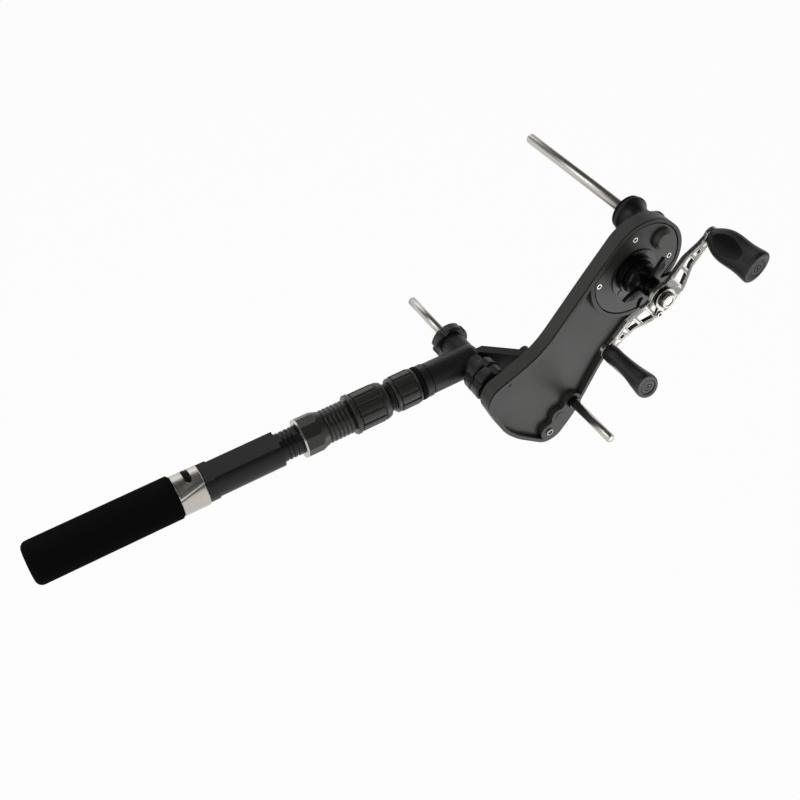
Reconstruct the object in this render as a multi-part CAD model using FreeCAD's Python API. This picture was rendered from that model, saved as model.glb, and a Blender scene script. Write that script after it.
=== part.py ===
import FreeCAD, Part
import math
import os

# Hand-held fishing line winder: a gripped handle with a reel seat, a tee joint with a cross rod,
# and a tilting gear arm whose crank drives a spool spindle at twice its own speed.
# Row frame: origin at the middle of the butt end, +X along the handle, +Y along the spindle's
# free end, +Z up.  Millimetres.

# ---- clearances ---------------------------------------------------------------------------------
BOND = 0.03            # glued or pressed joint, radial
RUN = 0.05             # running fit, radial
THREAD_FIT = 0.08      # nut on a thread, radial
AIR = 0.4              # free gap between pieces that move past each other
CUT_MARGIN = 1.0       # how far a cutting solid reaches past what it cuts

# ---- handle and reel seat (stations are distances from the butt end along +X) -------------------
GRIP_R = 14.0
GRIP_L = 92.0
GRIP_BUTT_ROUND = 4.5
GRIP_FRONT_CHAMFER = 1.2
TUBE_R = 7.5
TUBE_WALL = 1.3
GRIP_END_WALL = 3.0
PLUG_HEAD_T = 1.6
PLUG_L = 14.0
SLEEVE_R = 13.2
SLEEVE_L = 17.4
BAND_L = 6.6
BAND_R = 12.3
BARREL_R = 11.5
BARREL_L = 68.0
THREAD_R = 9.4
THREAD_PITCH = 3.0
THREAD_DEPTH = 0.7
FOOT_FLAT_Z = 8.8      # height of the flat that the reel foot rests on
FOOT_T = 2.0           # foot thickness that the two hoods take
FOOT_W = 9.5
POCKET_L = 12.0
HOOD_START = 174.4
HOOD_L = 17.0
HOOD_R = 12.8
HOOD_NOSE_R = 11.0
HOOD_NOSE_L = 5.5
HOOD_FLATS = 10
LIP_L = 1.2
RING_NUT_L = 17.0
RING_NUT_R = 11.1
RING_NUT_CORE_R = 10.3
RING_NUT_RIBS = 6
TUBE_END = 224.0
BARREL_END = 226.0

INSERT_SETBACK = 7.5   # from the front of the grip to the insert in the front hood
INSERT_L = 4.0
INSERT_T = 0.9
INSERT_SINK = 0.2   # how far the dark insert lies below the hood
INSERT_NEAR_Y = -5.1   # the insert runs over the top of the hood between these
INSERT_FAR_Y = 8.8
BAND_CHAMFER = 0.4
HOOD_FLAT_EASE = 0.1

# ---- coupling nuts ------------------------------------------------------------------------------
COUPLING_START = 210.2
COUPLING_L = 25.8
COUPLING_R = 12.8
COUPLING_FLANGE_R = 13.4
COUPLING_FLANGE_L = 3.0
COUPLING_DOME_L = 5.5
LOCK_START = 240.3
LOCK_L = 18.0
LOCK_R = 12.0
LOCK_FLANGE_R = 11.6
LOCK_FLANGE_L = 2.4
LOCK_DOME_L = 2.2
FLUTES = 12
FLUTE_W = 1.5
FLUTE_DEPTH = 0.7
SEAL_R = 11.4
SEAL_ROUND = 0.9
DOME_DROP = 2.4
LOCK_EDGE = 0.6
ADAPTER_BORE_R = 6.0
ADAPTER_PITCH = 1.4

# ---- tee joint ----------------------------------------------------------------------------------
TEE_X = 298.4
TEE_R = 10.5
TEE_END = 8.0          # how far past the cross axis the domed end of the handle's barrel reaches
TEE_END_ROUND = 7.8
CROSS_BARREL_R = 8.6
TEE_FLANGE_R = 11.1
TEE_FLANGE_L = 4.5
TEE_GROOVE_L = 1.2
TEE_GROOVE_DEPTH = 0.6
TEE_MOUTH_X = 262.0
TEE_SOCKET_L = 9.0
TEE_FAR_Y = 19.0
TEE_NEAR_Y = -13.0
SPIGOT_R = 7.0
SPIGOT_L = 5.6
KNOB_R = 12.3
KNOB_LOBES = 5
KNOB_NOTCH_R = 2.6
KNOB_NOTCH_DEPTH = 2.1
ROD_KNOB_TURN = -40.0   # each hand knob's turn about the cross axis, in degrees
CLAMP_KNOB_TURN = -11.5
LOCK_KNOB_TURN = -5.5
KNOB_T = 7.2
LOCK_KNOB_T = 8.0
ROD_R = 3.0
ROD_TAIL_R = 2.6        # rods are turned down where they are held
ROD_CHAMFER = 0.7
SHOULDER_GAP = 0.5     # from the piece that holds a rod to the rod's shoulder
CROSS_ROD_END_Y = 73.4
CROSS_ROD_GRIP = 26.0
COLLET_R = 5.0
COLLET_START_Y = -0.8
PIVOT_R = 4.5
WEB_TOP_Z = 8.0
WEB_H = 16.0
WEB_T = 6.0
LUG_X = 31.0
LUG_Z = 5.5
LUG_R = 4.0
LUG_NEAR_Y = -31.0
LUG_FAR_Y = -18.0
WEB_FAR_Y = -0.9
WEB_SETBACK = 2.0      # from the lug's ends to the web's sides
KNOB_GAP = 1.2
KNOB_EDGE = 1.0
PIVOT_ENTRY = 5.8      # how far the pivot shaft reaches into the arm
PIVOT_FAR_Y = -2.5

# ---- gear arm (u runs along the arm from foot to head, v across it, from the crank axis) --------
ARM_ANGLE = 45.0
ARM_FRONT_Y = -46.5
ARM_DEPTH = 10.5
ARM_RIM = 2.6
RECESS_DEPTH = 4.0
ARM_FLOOR = 2.2
PIVOT_U = -108.0
PIVOT_V = 25.5
HEAD_R = 29.8
HEAD_U = 8.0
HEAD_SIDE_U = -20.0
HEAD_TAPER = 1.8       # how much narrower the arm is where it leaves the head
WAIST_TOP_U = -71.0
WAIST_TOP_V = 25.5
WAIST_BOTTOM_U = -58.0
WAIST_BOTTOM_V = -29.5
WAIST_ROUND = 60.0
FOOT_CORNER_R = 13.5
FOOT_TOP_U = -114.4
FOOT_TOP_V = 44.2
FOOT_END_U = -130.4
FOOT_BOTTOM_U = -126.8
FOOT_BOTTOM_V = -41.2
FOOT_SIDE_U = -100.0
FOOT_SIDE_V = -40.2
FOOT_ROUND = 45.0
COLLAR_R = 8.0
RIM_BOSS_R = 6.5
ROD_BOSS_U = -92.5
ROD_BOSS_V = -31.0
BLANK_BOSS_U = -105.5
BLANK_BOSS_V = -30.0
SCREW_BOSS_U = -118.5
SCREW_BOSS_V = -31.0
LOWER_ROD_END_Y = -87.5
ROD_SLEEVE_R = 4.3
ROD_SLEEVE_PROUD = 3.0
DIMPLE_U = -98.0
DIMPLE_V = 29.4
DIMPLE_R = 1.9
DIMPLE_DEPTH = 1.4
SEAM_AT = 0.5          # from the front face to the seam round the arm's side
SEAM_W = 0.7
SEAM_DEPTH = 0.7
LAND_V = -26.7         # inner edge of the land that joins the rim's bosses
RIB_T = 2.0
RIB_PLACES = (-55.0, -80.0)
POCKET_HEAD_U = -34.0
PIVOT_BOSS_R = 9.0
HEAD_EASE = 1.5        # how much less than the half width the head's corners are rounded
PLUG_R = 3.4
PLUG_DEPTH = 2.5
PLUG_PROUD = 0.3
FOOT_SCREW_R = 1.5
FOOT_SCREW_L = 7.0
FOOT_SCREW_HEAD_R = 2.7
FOOT_SCREW_HEAD_T = 0.9
ROD_SLEEVE_DEPTH = 8.5
SOCKET_SHARE = 0.6     # socket size as a share of the screw head

# ---- gear chamber, cover and drive --------------------------------------------------------------
MODULE = 0.8
CRANK_TEETH = 44
SPINDLE_TEETH = 22
PRESSURE_ANGLE = 20.0
TOOTH_THINNING = 0.12
DEDENDUM = 1.25        # in modules
GEAR_HOLES = 5
GEAR_HOLE_R = 3.2
GEAR_FACE = 4.0
COVER_T = 2.0
COVER_SINK = 0.3
COVER_HEAD_R = 27.0
COVER_TAIL_R = 31.5
COVER_TAIL_U = 3.0
COVER_HALF = 24.5
COVER_GROOVE = 0.8
PLATFORM_MARGIN = 3.4
PLATFORM_SIDE = 1.6
CHAMBER_CLEAR = 0.7
COVER_SCREWS = ((17.5, 18.9), (20.1, -18.2), (-17.3, 19.9))
SCREW_HEAD_R = 2.0
SCREW_HEAD_T = 1.0
SCREW_SHANK_R = 1.1
SCREW_L = 6.0
CRANK_SHAFT_R = 3.0
BUSH_WALL = 2.4
REAR_BUSH_COVER = 0.6
SPINDLE_R = 3.5
SPINDLE_TAIL_R = 3.1
SPINDLE_END_Y = 92.6
SPINDLE_END_ROUND = 0.9
BEARING_WALL = 2.6
CAP_R = 7.1
CAP_FACE_R = 5.0
CAP_H = 4.2
CAP_WALL = 1.8
BOSS_FLANGE_R = 17.0
BOSS_FLANGE_T = 0.8
BOSS_RING_R = 13.0
BOSS_RING_H = 3.5
BOSS_RING_WALL = 1.6
BOSS_BASE_T = 1.2
BOSS_LUG_R = 1.9
BOSS_LUG_INSET = 0.4
DOME_TOP_R = 9.4
DOME_EDGE = 1.0
DOME_TOP_Y = -60.0
DOME_STEP_Y = -54.6
STAR_R = 20.5
STAR_ARMS = 6
STAR_HUB_R = 8.0
STAR_COLLAR_L = 2.2
STAR_ROOT_ANGLE = 24.0
STAR_BULGE_ANGLE = 13.0
STAR_HOLLOW_ANGLE = 8.0
STAR_T = 2.6
STAR_PHASE = -39.0
WASHER_R = 6.2
WASHERS = 4
WASHER_STEP = 0.8
HUB_R = 12.2
HUB_L = 20.0
HUB_ROUND = 0.8
HUB_FLANGE_L = 2.2
HUB_NECK_R = 8.6
HUB_FLARE_R = 11.6      # hollow of the neck, seen along the flange
SET_SCREW_R = 1.5
SET_SCREW_REACH = 8.2
PAD_T = 2.4
PAD_R = 11.4

# ---- crank handle -------------------------------------------------------------------------------
CRANK_ANGLE = 36.57
CRANK_HALF = 45.6
CRANK_T = 3.0
CRANK_HUB_Y = -75.5
CRANK_END_Y = -71.0
CRANK_HUB_W = 17.0
CRANK_MID_W = 11.5
CRANK_TIP_W = 7.6
CRANK_HUB_REACH = 14.0
CRANK_MID_REACH = 25.0
CRANK_TIP_REACH = 38.0
CRANK_EYE_R = 5.0
SLOT_IN = 12.5
SLOT_OUT = 28.0
CRANK_HOLE_AT = 33.5
CRANK_HOLE_R = 1.5
NUT_FLATS = 9.0
NUT_H = 4.0
NUT_CROWN = 0.5
CRANK_HUB_R = 11.0
CRANK_SWEEP_IN = 4.0
CRANK_BAR = 2.9
SLOT_MID = 20.5
SLOT_ROUND = 0.8
RETAINER_R = 7.2
RETAINER_TAIL_R = 2.8
RETAINER_T = 0.8
RETAINER_SCREW_X = -9.0
RETAINER_SCREW_Z = -5.4
KNOB_SHAFT_R = 2.2
HANDLE_KNOB_L = 37.0
# oval sections along a knob: (share of its length, half breadth, half thickness)
HANDLE_KNOB_SECTIONS = ((0.0, 5.6, 5.2), (0.14, 8.3, 5.6), (0.34, 9.9, 5.8), (0.6, 9.7, 6.0),
                        (0.8, 9.9, 6.7), (0.93, 10.4, 7.4))
HANDLE_KNOB_DISH_R = 62.0      # radius of the shallow flat on each broad side
HANDLE_KNOB_DISH_HALF = 4.7    # half thickness left between the two flats
HANDLE_KNOB_DISH_AT = 0.36     # middle of the flats, as a share of the length
KNOB_END_ROUND = 1.3
KNOB_ROLLS = {1: 46.7, -1: 118.0}   # how far each knob's broad side is turned from +X toward +Z
KNOB_BORE_R = KNOB_SHAFT_R + RUN
KNOB_SEAT = 0.5        # gap between a knob's root and the crank
KNOB_DOT_R = 1.2
KNOB_CAP_R = 4.4
KNOB_CAP_T = 1.2

# ---- places that follow from the dimensions above -----------------------------------------------
X_AXIS = FreeCAD.Vector(1, 0, 0)
Y_AXIS = FreeCAD.Vector(0, 1, 0)
Z_AXIS = FreeCAD.Vector(0, 0, 1)
ORIGIN = FreeCAD.Vector(0, 0, 0)
ARM_BACK_Y = ARM_FRONT_Y + ARM_DEPTH
PIVOT_BORE_R = PIVOT_R + RUN
GEAR_CENTRES = MODULE * (CRANK_TEETH + SPINDLE_TEETH) / 2
COVER_FRONT_Y = ARM_FRONT_Y + COVER_SINK
COVER_BACK_Y = COVER_FRONT_Y + COVER_T
CHAMBER_BACK_Y = ARM_BACK_Y - ARM_FLOOR
GEAR_FRONT_Y = (COVER_BACK_Y + CHAMBER_BACK_Y - GEAR_FACE) / 2
GEAR_BACK_Y = GEAR_FRONT_Y + GEAR_FACE
TUBE_START = GRIP_END_WALL + PLUG_HEAD_T
SEAT_START = GRIP_L
INSERT_START = SEAT_START + INSERT_SETBACK
SLEEVE_END = SEAT_START + SLEEVE_L
BAND_END = SLEEVE_END + BAND_L
BARREL_STEP = SEAT_START + BARREL_L
HOOD_END = HOOD_START + HOOD_L
RING_NUT_START = HOOD_END + AIR
RING_NUT_END = RING_NUT_START + RING_NUT_L
NUT_BORE_R = THREAD_R + THREAD_FIT
SEAL_END = TEE_MOUTH_X
ADAPTER_START = BARREL_END
ADAPTER_END = TEE_MOUTH_X + TEE_SOCKET_L
NEAR_SPIGOT_Y = TEE_NEAR_Y - SPIGOT_L
FAR_SPIGOT_Y = TEE_FAR_Y + SPIGOT_L
ROD_INNER_Y = TEE_FAR_Y + KNOB_T - CROSS_ROD_GRIP
LOCK_KNOB_FAR_Y = TEE_NEAR_Y - AIR - KNOB_T - KNOB_GAP
LOCK_KNOB_NEAR_Y = LOCK_KNOB_FAR_Y - LOCK_KNOB_T
COLLAR_FAR_Y = LOCK_KNOB_NEAR_Y - AIR
PIVOT_NEAR_Y = ARM_BACK_Y - PIVOT_ENTRY
CRANK_BUSH_R = CRANK_SHAFT_R + BUSH_WALL
REAR_BUSH_FAR_Y = ARM_BACK_Y - REAR_BUSH_COVER
BEARING_R = SPINDLE_TAIL_R + BEARING_WALL
ROD_SLEEVE_FAR_Y = ARM_FRONT_Y + ROD_SLEEVE_DEPTH
HUB_NEAR_Y = ARM_BACK_Y + AIR
HUB_FAR_Y = HUB_NEAR_Y + HUB_L
PAD_FAR_Y = HUB_FAR_Y + PAD_T
STAR_BACK_Y = DOME_TOP_Y - AIR
STAR_FRONT_Y = STAR_BACK_Y - STAR_T
STAR_COLLAR_Y = STAR_FRONT_Y - STAR_COLLAR_L
KNOB_ROOT_Y = CRANK_END_Y - KNOB_SEAT
KNOB_END_Y = KNOB_ROOT_Y - HANDLE_KNOB_L
ARM_COS = math.cos(math.radians(ARM_ANGLE))
ARM_SIN = math.sin(math.radians(ARM_ANGLE))
CRANK_X = TEE_X - PIVOT_U * ARM_COS + PIVOT_V * ARM_SIN
CRANK_Z = -PIVOT_U * ARM_SIN - PIVOT_V * ARM_COS


# ---- building blocks ----------------------------------------------------------------------------
def rod_x(radius, start, end):
    """A cylinder on the handle axis between two stations."""
    return Part.makeCylinder(radius, end - start, FreeCAD.Vector(start, 0, 0), X_AXIS)


def rod_y(radius, near, far, x=0.0, z=0.0):
    """A cylinder parallel to Y from its near end to its far end."""
    return Part.makeCylinder(radius, far - near, FreeCAD.Vector(x, near, z), Y_AXIS)


def cone_y(near_radius, far_radius, near, far, x=0.0, z=0.0):
    """A tapered cylinder parallel to Y."""
    return Part.makeCone(near_radius, far_radius, far - near, FreeCAD.Vector(x, near, z), Y_AXIS)


def tube_x(outer, inner, start, end):
    """A tube on the handle axis."""
    return rod_x(outer, start, end).cut(rod_x(inner, start, end))


def tube_y(outer, inner, near, far, x=0.0, z=0.0):
    """A tube parallel to Y."""
    return rod_y(outer, near, far, x, z).cut(rod_y(inner, near, far, x, z))


def turned_x(profile):
    """A solid turned about the handle axis from (station, radius) points."""
    points = [FreeCAD.Vector(x, r, 0) for x, r in profile]
    points = [FreeCAD.Vector(profile[0][0], 0, 0)] + points + [FreeCAD.Vector(profile[-1][0], 0, 0)]
    face = Part.Face(Part.makePolygon(points + points[:1]))
    return face.revolve(ORIGIN, X_AXIS, 360)


def turned_y(profile, x=0.0, z=0.0):
    """A solid turned about an axis parallel to Y from (station, radius) points."""
    points = [FreeCAD.Vector(x + r, y, z) for y, r in profile]
    start = FreeCAD.Vector(x, profile[0][0], z)
    end = FreeCAD.Vector(x, profile[-1][0], z)
    face = Part.Face(Part.makePolygon([start] + points + [end, start]))
    return face.revolve(FreeCAD.Vector(x, 0, z), Y_AXIS, 360)


def ring_edges(shape, station, radius, axis="x"):
    """The round edges of one radius at one station along an axis."""
    found = []
    for edge in shape.Edges:
        curve = edge.Curve
        if not isinstance(curve, Part.Circle) or abs(curve.Radius - radius) > 0.01:
            continue
        if abs(getattr(curve.Center, axis) - station) < 0.01:
            found.append(edge)
    return found


def box(x0, x1, y0, y1, z0, z1):
    """A box between two corners."""
    return Part.makeBox(x1 - x0, y1 - y0, z1 - z0, FreeCAD.Vector(x0, y0, z0))


def turned_copy(shape, centre, axis, angle):
    """A copy of a shape turned about an axis."""
    copy = shape.copy()
    copy.rotate(centre, axis, angle)
    return copy


def around(shape, centre, axis, count, first=0.0):
    """Copies of a shape spaced evenly about an axis."""
    return [turned_copy(shape, centre, axis, first + 360.0 * i / count) for i in range(count)]


def rounded_wire(corners, y):
    """A closed wire in the plane at y through (u, v, corner radius) points, each corner an arc."""
    count = len(corners)
    starts = []
    ends = []
    middles = []
    for i, (u, v, radius) in enumerate(corners):
        here = FreeCAD.Vector(u, y, v)
        before = FreeCAD.Vector(corners[i - 1][0], y, corners[i - 1][1]) - here
        after = FreeCAD.Vector(corners[(i + 1) % count][0], y, corners[(i + 1) % count][1]) - here
        before.normalize()
        after.normalize()
        half = before.getAngle(after) / 2
        reach = radius / math.tan(half)
        bisector = before + after
        bisector.normalize()
        starts.append(here + before * reach)
        ends.append(here + after * reach)
        middles.append(here + bisector * (radius / math.sin(half) - radius))
    edges = []
    for i in range(count):
        edges.append(Part.Arc(starts[i], middles[i], ends[i]).toShape())
        edges.append(Part.LineSegment(ends[i], starts[(i + 1) % count]).toShape())
    return Part.Wire(edges)


def plate(corners, near, far):
    """A plate with rounded corners between two y stations."""
    face = Part.Face(rounded_wire(corners, near))
    return face.extrude(FreeCAD.Vector(0, far - near, 0))


def in_arm(shape):
    """Moves a shape from the arm's own directions (u, y, v) into the row frame."""
    placed = shape.copy()
    placed.rotate(ORIGIN, Y_AXIS, -ARM_ANGLE)
    placed.translate(FreeCAD.Vector(CRANK_X, 0, CRANK_Z))
    return placed


def in_crank(shape):
    """Moves a shape from the crank's own directions (along the crank, y, across it) into the row frame."""
    placed = shape.copy()
    placed.rotate(ORIGIN, Y_AXIS, -CRANK_ANGLE)
    placed.translate(FreeCAD.Vector(CRANK_X, 0, CRANK_Z))
    return placed


def at_tee(shape):
    """Moves a shape built about the tee's centre into the row frame."""
    placed = shape.copy()
    placed.translate(FreeCAD.Vector(TEE_X, 0, 0))
    return placed


# ---- handle -------------------------------------------------------------------------------------
def foam_grip():
    grip = rod_x(GRIP_R, 0, GRIP_L).cut(rod_x(TUBE_R + BOND, GRIP_END_WALL, GRIP_L))
    grip = grip.makeFillet(GRIP_BUTT_ROUND, ring_edges(grip, 0, GRIP_R))
    return grip.makeChamfer(GRIP_FRONT_CHAMFER, ring_edges(grip, GRIP_L, GRIP_R))


def handle_tube():
    return tube_x(TUBE_R, TUBE_R - TUBE_WALL, TUBE_START, TUBE_END)


def butt_plug():
    head = rod_x(TUBE_R, GRIP_END_WALL, TUBE_START)
    return head.fuse(rod_x(TUBE_R - TUBE_WALL - BOND, TUBE_START, TUBE_START + PLUG_L)).removeSplitter()


def foot_pocket(start, end):
    """The room over the barrel's flat that a reel foot slides into."""
    return box(start, end, -FOOT_W / 2, FOOT_W / 2, FOOT_FLAT_Z, FOOT_FLAT_Z + FOOT_T)


def seat_barrel():
    barrel = rod_x(BARREL_R, SEAT_START, BARREL_STEP)
    barrel = barrel.fuse(rod_x(THREAD_R, BARREL_STEP, BARREL_END))
    groove = tube_x(THREAD_R + CUT_MARGIN, THREAD_R - THREAD_DEPTH, 0, THREAD_PITCH / 2)
    turns = int((HOOD_START - BARREL_STEP) / THREAD_PITCH)
    for i in range(1, turns):
        ring = groove.copy()
        ring.translate(FreeCAD.Vector(BARREL_STEP + i * THREAD_PITCH, 0, 0))
        barrel = barrel.cut(ring)
    barrel = barrel.cut(box(SEAT_START, HOOD_END, -BARREL_R, BARREL_R, FOOT_FLAT_Z, BARREL_R + 1))
    return barrel.cut(rod_x(TUBE_R + BOND, SEAT_START, BARREL_END))


def seat_sleeve():
    sleeve = tube_x(SLEEVE_R, BARREL_R + BOND, SEAT_START, SLEEVE_END)
    ledge = box(SEAT_START, SLEEVE_END, -SLEEVE_R, SLEEVE_R, FOOT_FLAT_Z, SLEEVE_R)
    filled = rod_x(BARREL_R + BOND, SEAT_START, SLEEVE_END).common(ledge)
    sleeve = sleeve.fuse(filled)
    insert_room = tube_x(SLEEVE_R + CUT_MARGIN, SLEEVE_R - INSERT_T, INSERT_START, INSERT_START + INSERT_L)
    slot = box(INSERT_START, INSERT_START + INSERT_L, INSERT_NEAR_Y, INSERT_FAR_Y, 0, SLEEVE_R + CUT_MARGIN)
    sleeve = sleeve.cut(insert_room.common(slot))
    return sleeve.cut(foot_pocket(SLEEVE_END - POCKET_L, SLEEVE_END)).removeSplitter()


def hood_insert():
    ring = tube_x(SLEEVE_R - INSERT_SINK, SLEEVE_R - INSERT_T, INSERT_START, INSERT_START + INSERT_L)
    slot = box(INSERT_START, INSERT_START + INSERT_L, INSERT_NEAR_Y, INSERT_FAR_Y, 0, SLEEVE_R + CUT_MARGIN)
    return ring.common(slot)


def seat_band():
    band = tube_x(BAND_R, BARREL_R + BOND, SLEEVE_END, BAND_END)
    ledge = box(SLEEVE_END, BAND_END, -SLEEVE_R, SLEEVE_R, FOOT_FLAT_Z, SLEEVE_R)
    band = band.cut(ledge)
    return band.makeChamfer(BAND_CHAMFER, ring_edges(band, BAND_END, BAND_R))


def sliding_hood():
    profile = [(HOOD_START + LIP_L, HOOD_R), (HOOD_END - HOOD_NOSE_L, HOOD_R), (HOOD_END, HOOD_NOSE_R)]
    hood = turned_x(profile)
    for cut in around(hood_facet(), ORIGIN, X_AXIS, HOOD_FLATS):
        hood = hood.cut(cut)
    hood = hood.cut(rod_x(NUT_BORE_R, HOOD_START, HOOD_END))
    return hood.cut(foot_pocket(HOOD_START, HOOD_START + POCKET_L))


def hood_facet():
    """What one broad flat takes off the hood."""
    reach = HOOD_R * math.cos(math.pi / HOOD_FLATS) + HOOD_FLAT_EASE
    return box(HOOD_START, HOOD_END, -HOOD_R, HOOD_R, reach, HOOD_R + 1)


def hood_lip():
    lip = tube_x(HOOD_R, NUT_BORE_R, HOOD_START, HOOD_START + LIP_L)
    return lip.cut(foot_pocket(HOOD_START, HOOD_START + LIP_L))


def hood_ring_nut():
    """A ring nut of raised ribs with soft valleys between them."""
    pitch = RING_NUT_L / RING_NUT_RIBS
    nut = rod_x(RING_NUT_CORE_R, RING_NUT_START, RING_NUT_END)
    for i in range(RING_NUT_RIBS):
        start = RING_NUT_START + i * pitch
        crest = pitch / 4
        rib = turned_x([(start, RING_NUT_CORE_R - 0.1), (start + crest, RING_NUT_R),
                        (start + 2 * crest, RING_NUT_R), (start + 3 * crest, RING_NUT_CORE_R - 0.1)])
        nut = nut.fuse(rib)
    return nut.cut(rod_x(NUT_BORE_R, RING_NUT_START, RING_NUT_END)).removeSplitter()


def fluted(nut, radius, start, end):
    """Cuts the lengthwise flutes of a hand nut."""
    groove = box(start, end, -FLUTE_W / 2, FLUTE_W / 2, radius - FLUTE_DEPTH, radius + 1)
    for cut in around(groove, ORIGIN, X_AXIS, FLUTES):
        nut = nut.cut(cut)
    return nut


def coupling_nut():
    end = COUPLING_START + COUPLING_L
    dome = end - COUPLING_DOME_L
    flange_end = COUPLING_START + COUPLING_FLANGE_L
    nut = turned_x([(COUPLING_START, COUPLING_FLANGE_R), (flange_end, COUPLING_FLANGE_R),
                    (flange_end, COUPLING_R), (dome, COUPLING_R),
                    (dome + COUPLING_DOME_L / 2, COUPLING_R - DOME_DROP / 3), (end, COUPLING_R - DOME_DROP)])
    nut = fluted(nut, COUPLING_R, flange_end + FLUTE_W / 2, dome)
    return nut.cut(rod_x(NUT_BORE_R, COUPLING_START, end))


def lock_nut():
    end = LOCK_START + LOCK_L
    dome = end - LOCK_DOME_L
    flange_end = LOCK_START + LOCK_FLANGE_L
    nut = turned_x([(LOCK_START, LOCK_FLANGE_R - LOCK_EDGE), (LOCK_START + LOCK_EDGE, LOCK_FLANGE_R),
                    (flange_end, LOCK_FLANGE_R), (flange_end, LOCK_R), (dome, LOCK_R),
                    (end, LOCK_R - LOCK_DOME_L / 2)])
    nut = fluted(nut, LOCK_R, flange_end + FLUTE_W / 2, dome)
    return nut.cut(rod_x(NUT_BORE_R, LOCK_START, end))


def threaded_adapter():
    adapter = tube_x(THREAD_R, ADAPTER_BORE_R, ADAPTER_START, ADAPTER_END)
    gap_start = COUPLING_START + COUPLING_L
    groove = tube_x(THREAD_R + CUT_MARGIN, THREAD_R - THREAD_DEPTH, 0, ADAPTER_PITCH / 2)
    for i in range(int((LOCK_START - gap_start) / ADAPTER_PITCH)):
        ring = groove.copy()
        ring.translate(FreeCAD.Vector(gap_start + i * ADAPTER_PITCH + ADAPTER_PITCH / 4, 0, 0))
        adapter = adapter.cut(ring)
    return adapter


def seal_ring():
    start = LOCK_START + LOCK_L + AIR
    ring = tube_x(SEAL_R, THREAD_R + BOND, start, SEAL_END)
    return ring.makeFillet(SEAL_ROUND, ring_edges(ring, start, SEAL_R) + ring_edges(ring, SEAL_END, SEAL_R))


# ---- tee joint ----------------------------------------------------------------------------------
def tee_web():
    """The upright web that stiffens the joint, with its round lug behind the arm."""
    run = LUG_X - TEE_R
    drop = LUG_FAR_Y - WEB_SETBACK - WEB_FAR_Y
    length = math.hypot(run, drop)
    step_x = WEB_T * drop / length
    step_y = -WEB_T * run / length
    plan = [(0, WEB_FAR_Y), (0, WEB_FAR_Y + step_y), (TEE_R + step_x, WEB_FAR_Y + step_y),
            (LUG_X + step_x, LUG_FAR_Y - WEB_SETBACK + step_y), (LUG_X, LUG_NEAR_Y + WEB_SETBACK),
            (LUG_X, LUG_FAR_Y - WEB_SETBACK), (TEE_R, WEB_FAR_Y)]
    points = [FreeCAD.Vector(x, y, WEB_TOP_Z - WEB_H) for x, y in plan]
    web = Part.Face(Part.makePolygon(points + points[:1])).extrude(FreeCAD.Vector(0, 0, WEB_H))
    return web.fuse(rod_y(LUG_R, LUG_NEAR_Y, LUG_FAR_Y, LUG_X, LUG_Z))


def tee_frame():
    mouth = TEE_MOUTH_X - TEE_X
    body = rod_x(TEE_R, mouth, TEE_END)
    body = body.makeFillet(TEE_END_ROUND, ring_edges(body, TEE_END, TEE_R))
    body = body.fuse([rod_x(TEE_FLANGE_R, mouth, mouth + TEE_FLANGE_L),
                      rod_y(CROSS_BARREL_R, TEE_NEAR_Y, TEE_FAR_Y),
                      rod_y(SPIGOT_R, NEAR_SPIGOT_Y, FAR_SPIGOT_Y), tee_web()])
    groove_start = mouth + TEE_FLANGE_L
    body = body.cut(tube_x(TEE_R + CUT_MARGIN, TEE_R - TEE_GROOVE_DEPTH,
                           groove_start, groove_start + TEE_GROOVE_L))
    body = body.cut(rod_x(THREAD_R + BOND, mouth, mouth + TEE_SOCKET_L))
    body = body.cut(rod_x(ADAPTER_BORE_R, mouth, -TEE_R))
    body = body.cut(rod_y(COLLET_R + BOND, COLLET_START_Y, FAR_SPIGOT_Y))
    body = body.cut(rod_y(PIVOT_BORE_R, NEAR_SPIGOT_Y, PIVOT_FAR_Y + AIR))
    return at_tee(body.removeSplitter())


def rod_collet():
    return at_tee(tube_y(COLLET_R, ROD_TAIL_R + RUN, COLLET_START_Y, FAR_SPIGOT_Y))


def cross_rod():
    shoulder = TEE_FAR_Y + AIR + KNOB_T + SHOULDER_GAP
    rod = rod_y(ROD_R, shoulder, CROSS_ROD_END_Y)
    rod = rod.makeChamfer(ROD_CHAMFER, ring_edges(rod, CROSS_ROD_END_Y, ROD_R, "y"))
    return at_tee(rod.fuse(rod_y(ROD_TAIL_R, ROD_INNER_Y, shoulder)))


def star_knob(near, far, turn):
    """A hand knob with broad lobes, on the tee's cross axis, turned about it."""
    knob = rod_y(KNOB_R, near, far)
    rims = ring_edges(knob, near, KNOB_R, "y") + ring_edges(knob, far, KNOB_R, "y")
    knob = knob.makeChamfer(KNOB_EDGE, rims)
    notch = rod_y(KNOB_NOTCH_R, near, far, KNOB_R + KNOB_NOTCH_R - KNOB_NOTCH_DEPTH, 0)
    for cut in around(notch, ORIGIN, Y_AXIS, KNOB_LOBES, turn):
        knob = knob.cut(cut)
    return knob


def rod_clamp_knob():
    near = TEE_FAR_Y + AIR
    far = near + KNOB_T
    knob = star_knob(near, far, ROD_KNOB_TURN).cut(rod_y(SPIGOT_R + THREAD_FIT, near, FAR_SPIGOT_Y + AIR))
    return at_tee(knob.cut(rod_y(ROD_R + AIR, near, far)))


def arm_clamp_knob():
    far = TEE_NEAR_Y - AIR
    near = far - KNOB_T
    knob = star_knob(near, far, CLAMP_KNOB_TURN)
    knob = knob.cut(rod_y(SPIGOT_R + THREAD_FIT, NEAR_SPIGOT_Y - AIR, far))
    return at_tee(knob.cut(rod_y(PIVOT_R + AIR, near, far)))


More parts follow.
